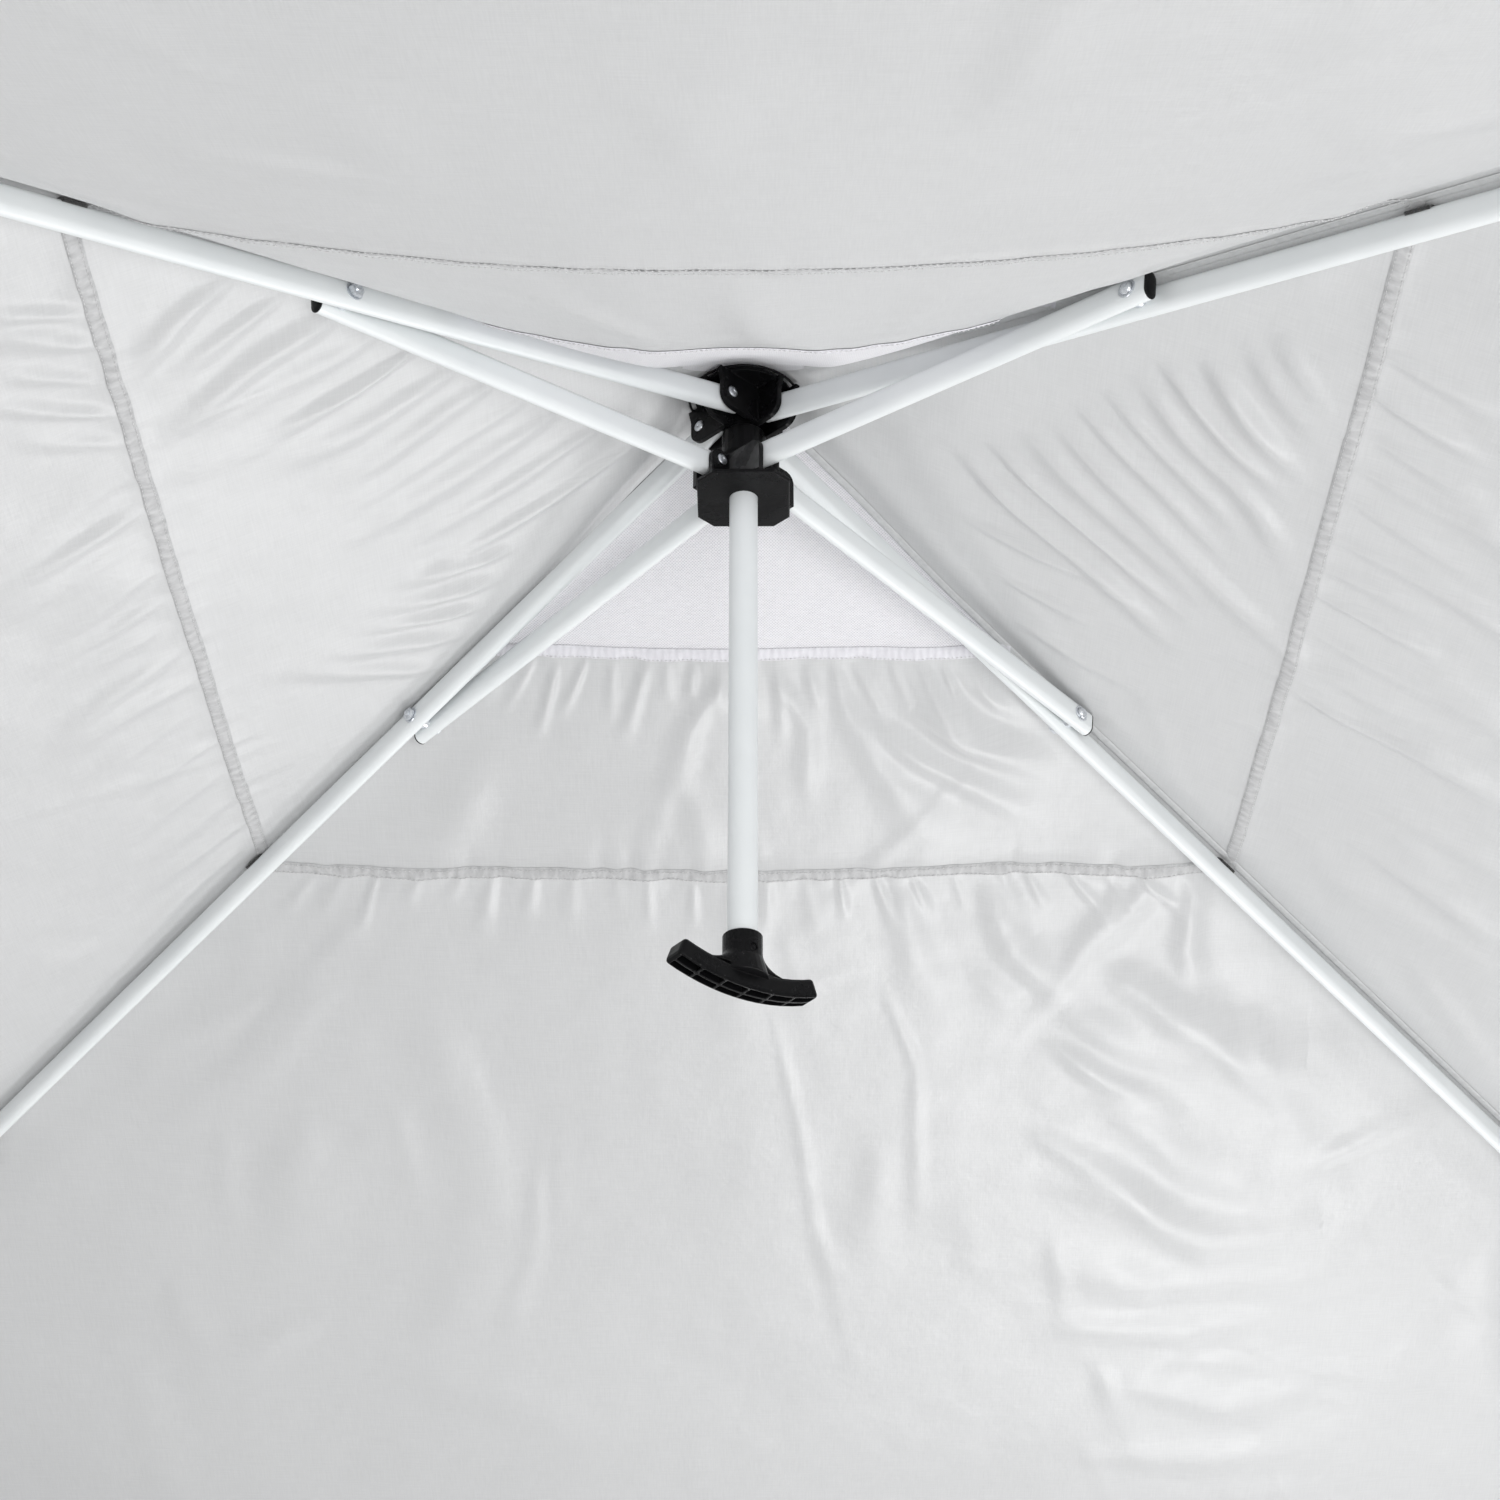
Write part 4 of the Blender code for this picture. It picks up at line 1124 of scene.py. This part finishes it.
def domed(radius, base, rise, out=1, steps=6, start=0.0):
    """Profile points of a low dome on base, growing along out, from a share of its quarter turn."""
    turns = np.linspace(start, 1, steps + 1)[:-1] * math.pi / 2
    points = [(radius * math.cos(t), base + out * rise * math.sin(t)) for t in turns]
    return points + [(0, base + out * rise)]


def strut_bolt():
    """Dome head and washer outside the strut, spacer between strut and rib, nut outside the rib."""
    half = RIB_WIDTH / 2
    rib_in, rib_out = 2 * RIB_SIDE - half, 2 * RIB_SIDE + half
    shank, head, spacer, washer, thick = 0.003, 0.0052, 0.0066, 0.0071, 0.0009
    profile = domed(head, -half - thick - 0.0006, 0.0030, -1)[::-1]
    profile += [(head, -half - thick), (0.0068, -half - thick), (washer, -half - thick + 0.0002)]
    profile += [(washer, -half - 0.0001), (shank, -half), (shank, half), (spacer, half)]
    profile += [(spacer, rib_in), (shank, rib_in), (shank, rib_out), (spacer, rib_out)]
    profile += [(0.0069, rib_out + 0.0002), (0.0069, rib_out + 0.0008), (shank, rib_out + thick)]
    profile += [(shank, rib_out + 0.0052), (0.0024, rib_out + 0.0058), (0, rib_out + 0.0058)]
    bolt = from_bmesh("bolt_core", lathe(profile, 36, "Y"), ZINC, 30)
    nut = from_bmesh("bolt_nut", hex_nut(0.0060, rib_out + thick, rib_out + 0.0046), ZINC, 25)
    whole = joined("rib_bolt", [bolt, nut])
    place = at(BOLT.x, -RIB_SIDE, BOLT.z, STRUT_SLOPE)
    in_corners(whole, "rib_bolt", place, "strut_{}", "strut_bolt")


def fasteners():
    """Hub and slider screws, strut bolts and the ribs' middle pins."""
    slot_half, ear = 0.0065, 0.0046
    face = slot_half + ear + 0.0001
    for body, pin, side in (("hub", HUB_PIN, RIB_SIDE), ("slider", SLIDER_PIN, -RIB_SIDE)):
        kind = f"{body}_screw"
        screw = cross_head_screw(kind, face, -slot_half - 0.0028, 0.0047, 0.0024, 0.0017, ZINC)
        in_corners(screw, f"{kind}_head", at(pin.x, side, pin.z), body, kind)
    strut_bolt()
    outer, inner = RIB_SIDE + RIB_WIDTH / 2, RIB_SIDE - RIB_WIDTH / 2
    half = domed(0.0080, outer + 0.0009, 0.0024)[::-1] + [(0.0080, outer + 0.0001), (0.003, outer)]
    half += [(0.003, inner), (0.0098, inner - 0.0001), (0.0102, inner - 0.0005)]
    profile = half + [(r, -h) for r, h in half[::-1]]
    pin = from_bmesh("rib_knuckle", lathe(profile, 40, "Y"), BLACK, 30)
    place = at(KNUCKLE.x, 0, KNUCKLE.z, RIB_SLOPE)
    in_corners(pin, "rib_knuckle", place, "inner_rib_{}", "knuckle")


# --- moulded parts ---


def moulded(name, node, extras, voxel, smoothing, place=None):
    """A moulded part: the frame's solid and extra shells grown together, with softened edges.

    place is where its own origin lies in the frame.
    """
    body = frame["nodes"][node].copy()
    body.data = body.data.copy()
    body.parent = None
    body.matrix_world = Matrix()
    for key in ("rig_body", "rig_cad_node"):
        del body[key]
    bpy.context.scene.collection.objects.link(body)
    if place:
        body.data.transform(place.inverted())
    shells = [from_bmesh(f"{name}_shell", bm, BLACK) for bm in extras]
    body = joined(name, [body, *shells])
    body.data.materials.clear()
    body.data.materials.append(BLACK)
    remesh = body.modifiers.new("Grow together", "REMESH")
    remesh.mode = "VOXEL"
    remesh.voxel_size = voxel
    relax = body.modifiers.new("Soften", "SMOOTH")
    relax.factor = 0.5
    relax.iterations = smoothing
    bpy.context.view_layer.update()
    applied(body)
    body.data.shade_smooth()
    return body


def ring_bead(radius, height, thick, steps=64):
    """A thin raised ring around the axis."""
    section = circle(thick, 8)
    turns = circle(1, steps)
    return shell([[((radius + p) * x, (radius + p) * y, height + q) for p, q in section] for x, y in turns],
                 closed=True)


def hub_parts():
    """Hub body with a bead round its disc, and the domed cap over it."""
    low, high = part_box("hub_body")
    rim = (high.x - low.x) / 2
    body = moulded("hub_casting", "hub_body", [ring_bead(rim - 0.0012, high.z - 0.0022, 0.0011)], 0.0005, 3)
    placed(body, Matrix(), "hub", ["hub_body"])
    low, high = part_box("hub_cap")
    lip = low.z + 0.0014
    profile = [(0, low.z), (high.x, low.z), (high.x, lip)]
    profile += domed(high.x, lip, high.z - lip, steps=13, start=0.1)
    dome = from_bmesh("hub_dome", lathe(profile, 64), BLACK)
    placed(dome, Matrix(), "hub", ["hub_cap"])


def slider_parts():
    """Slider body and the pull tube."""
    body = moulded("slider_casting", "slider_body", [], 0.00045, 2)
    placed(body, Matrix(), "slider", ["slider_body"])
    low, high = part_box("handle_tube")
    tube = from_bmesh("pull_tube", sleeve(ring_round(high.x, 64), low.z, high.z, 0.0015, "Z"), WHITE)
    placed(tube, Matrix(), "slider", ["handle_tube"])


def grip_flare():
    """The collar's foot spreads along the grip bar in a long fillet."""
    rings = []
    turns = np.linspace(0, 2 * math.pi, 40, endpoint=False)
    for share in np.linspace(0, 1, 12):
        spread = (1 - share) ** 2.6
        long, short = 0.0142 + 0.022 * spread, 0.0142 - 0.0050 * spread
        height = 0.0016 + 0.0165 * share
        bow = 0.16 - np.sqrt(0.16 ** 2 - (long * np.cos(turns)) ** 2)
        rings.append([(long * math.cos(t), short * math.sin(t), height + b * (1 - share))
                      for t, b in zip(turns, bow)])
    return shell(rings, capped=True)


def grip_parts():
    """Pull handle: grip with its flared collar, and the recessed screw that holds the tube."""
    collar_rise, screw_rise, screw_face, bore_end = 0.030, 0.0165, 0.0128, 0.0200
    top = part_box("handle_grip")[1].z
    place = Matrix.Translation((0, 0, top - collar_rise)) @ Matrix.Rotation(GRIP_TURN, 4, "Z")
    grip = moulded("pull_grip", "handle_grip", [grip_flare()], 0.00045, 4, place)
    screw_place = Matrix.Translation((0, 0, screw_rise)) @ Matrix.Rotation(math.pi, 4, "Z")
    recess = lathe([(0, screw_face), (0.0031, screw_face), (0.0033, bore_end), (0, bore_end)], 32, "Y")
    recess.transform(screw_place)
    cut(grip, [recess], "MANIFOLD")
    grip.data.shade_smooth()
    placed(grip, place, "slider", ["handle_grip"])
    screw = cross_head_screw("grip_screw", screw_face, 0.0118, 0.0025, 0.0012, 0.0011, BLACK)
    placed(screw, place @ screw_place, "slider", [])


def leg_parts():
    """Corner brackets, telescopic legs, collars, buttons and feet."""
    to_sides = Matrix.Rotation(-math.pi / 4, 4, "Z")
    bracket_place = at(LEG_U, 0, CORNER_PIN.z)
    bracket = moulded("corner_cap", "corner_bracket_1", [], 0.0007, 3, corner(1) @ bracket_place)
    in_corners(bracket, "corner_cap", bracket_place, "leg_{}", "corner_bracket")
    low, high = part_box("outer_leg_1")
    outline = ring_square(LEG_SIZE, 0.003)
    tube = from_bmesh("leg_outer", sleeve(outline, low.z, high.z, LEG_WALL, "Z"), WHITE)
    in_corners(tube, "leg_outer", at(LEG_U) @ to_sides, "leg_{}", "outer_leg")
    collar_place = at(LEG_U, 0, low.z) @ to_sides
    collar = moulded("leg_lock", "leg_collar_1", [], 0.0007, 3, corner(1) @ collar_place)
    in_corners(collar, "leg_lock", collar_place, "leg_{}", "leg_collar")
    buttons(collar_place)
    feet(to_sides)


def buttons(collar_place):
    """A domed push button in each collar."""
    low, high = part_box("lock_button_1")
    radius, length = (high.z - low.z) / 2, high.x - low.x
    profile = [(0, 0), (radius - 0.0002, 0), (radius - 0.0002, length * 0.72)]
    profile += domed(radius - 0.0004, length * 0.74, length * 0.26, steps=8)
    button = from_bmesh("button", lathe(profile, 40), ZINC)
    out = Matrix.Translation((low.x - LEG_U / ROOT_2, 0, 0)) @ Matrix.Rotation(math.pi / 2, 4, "Y")
    in_corners(button, "button", collar_place @ out, "lock_button_{}", "lock_button")


def foot_plate(half, thick):
    """A rounded plate with a hole for a stake."""
    plate = bmesh.new()
    bmesh.ops.create_cube(plate, size=1, matrix=Matrix.Diagonal((2 * half, 2 * half, thick, 1)))
    upright = [e for e in plate.edges if abs(e.verts[0].co.z - e.verts[1].co.z) > thick / 2]
    bmesh.ops.bevel(plate, geom=upright, offset=0.008, segments=6, affect="EDGES")
    level = [e for e in plate.edges if len(e.link_faces) == 2 and e.calc_face_angle() > 1]
    bmesh.ops.bevel(plate, geom=level, offset=0.0009, segments=3, affect="EDGES")
    bmesh.ops.translate(plate, verts=plate.verts, vec=(0, 0, thick / 2))
    stake = lathe([(0, -0.01), (0.005, -0.01), (0.005, 0.02), (0, 0.02)], 32)
    stake.transform(Matrix.Translation((0.026, 0.026, 0)))
    return cut(from_bmesh("foot_plate", plate, ZINC), [stake])


def feet(to_sides):
    """Inner legs with their row of button holes, welded to foot plates."""
    low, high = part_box("inner_leg_1")
    thick = 0.004
    outline = ring_square(INNER_LEG_SIZE, 0.0025)
    tube = from_bmesh("inner_tube", sleeve(outline, thick - 0.0005, high.z, LEG_WALL, "Z"), ZINC)
    drill = []
    for step in range(5):
        hole = lathe([(0, 0), (0.0042, 0), (0.0042, 0.02), (0, 0.02)], 24)
        rise = Matrix.Translation((0, 0, 0.30 + 0.13 * step))
        hole.transform(rise @ Matrix.Rotation(math.pi / 2, 4, "Y"))
        drill.append(hole)
    cut(tube, drill)
    foot = foot_plate((high.x - low.x) / 2, thick)
    weld = from_bmesh("foot_weld", weld_bead(INNER_LEG_SIZE / 2, thick), ZINC)
    whole = joined("leg_inner", [tube, foot, weld])
    in_corners(whole, "leg_inner", at(LEG_U) @ to_sides, "inner_leg_{}", "inner_leg")


def weld_bead(half, base, steps=80):
    """A rippled weld around the foot of a square tube."""
    outline = ring_square(2 * half, 0.0025, 12)(0)
    rings = []
    for index in range(steps):
        place = index / steps * len(outline)
        i, share = int(place), place % 1
        p = Vector(outline[i]).lerp(Vector(outline[(i + 1) % len(outline)]), share)
        out = p.normalized()
        section = circle(0.0018 + 0.0003 * math.sin(index * 1.9), 8)
        rings.append([(p.x + out.x * q, p.y + out.y * q, base + r) for q, r in section])
    return shell(rings, closed=True)


# --- stage, light and camera ---


# Lamps: name, place, target, size in metres and power in watts. The low ones stand where the slopes
# of the roof mirror them to the camera.
LOW_LAMPS = (
    ("key", (1.45, 3.1, 0.15), (0.0, 0.2, 2.45), 1.9, 56),
    ("side", (-1.5, 3.4, 0.15), (0.2, 0.2, 2.4), 1.3, 17),
    ("front", (1.0, -2.2, 0.35), (-0.1, 0.6, 2.4), 1.8, 57),
    ("lift", (0.75, 1.15, 0.12), (0.35, 0.7, 2.4), 0.9, 21),
)
TOP_LAMP = ("over", (-1.5, -2.2, 8.0), (0.0, 0.0, 2.0), 6.0, 330)


def soft_light(name, place, target, size, power):
    data = bpy.data.lights.new(name, "AREA")
    data.energy = power
    data.size = size
    lamp = new_object(name, data)
    lamp.location = place
    lamp.rotation_euler = (Vector(target) - Vector(place)).to_track_quat("-Z", "Y").to_euler()
    lamp.visible_camera = False
    return lamp


def keep_off(lamps, thing):
    """Lamps low over the floor don't light it, because they would burn bright bands into it."""
    unlit = bpy.data.collections.new("unlit")
    unlit.objects.link(thing)
    unlit.collection_objects[0].light_linking.link_state = "EXCLUDE"
    for lamp in lamps:
        lamp.light_linking.receiver_collection = unlit


def stage():
    """Floor, even surroundings, and soft lights under and over the roof."""
    corners = [(-20, -20, 0), (20, -20, 0), (20, 20, 0), (-20, 20, 0)]
    floor = mesh_object("floor", corners, [(0, 1, 2, 3)], pale_floor())
    world = bpy.data.worlds.new("studio")
    world.use_nodes = True
    sky = world.node_tree.nodes["Background"]
    sky.inputs["Color"].default_value = (0.97, 0.98, 1.0, 1)
    sky.inputs["Strength"].default_value = 0.455
    bpy.context.scene.world = world
    bpy.context.scene.view_settings.view_transform = "Standard"
    keep_off([soft_light(*lamp) for lamp in LOW_LAMPS], floor)
    soft_light(*TOP_LAMP)


def camera():
    """Under the roof, looking up at the hub at the photograph's angle."""
    data = bpy.data.cameras.new("camera")
    data.sensor_width = 36
    data.lens = 68.7
    view = new_object("camera", data)
    bpy.context.scene.camera = view
    climb, heading, roll = math.radians(31.26), math.radians(-0.36), math.radians(-0.052)
    sideways = Vector((math.cos(heading), -math.sin(heading), 0))
    forward = Vector((math.sin(heading), math.cos(heading), 0))
    ahead = math.cos(climb) * forward + Vector((0, 0, math.sin(climb)))
    over = sideways.cross(ahead)
    right = math.cos(roll) * sideways - math.sin(roll) * over
    up = math.sin(roll) * sideways + math.cos(roll) * over
    turned = Matrix((right, up, -ahead)).transposed().to_4x4()
    view.matrix_world = Matrix.Translation((0.0165, -1.8036, HUB_Z - 1.4014)) @ turned


camera()
stage()
hub_parts()
slider_parts()
grip_parts()
fasteners()
ribs()
leg_parts()
roof()
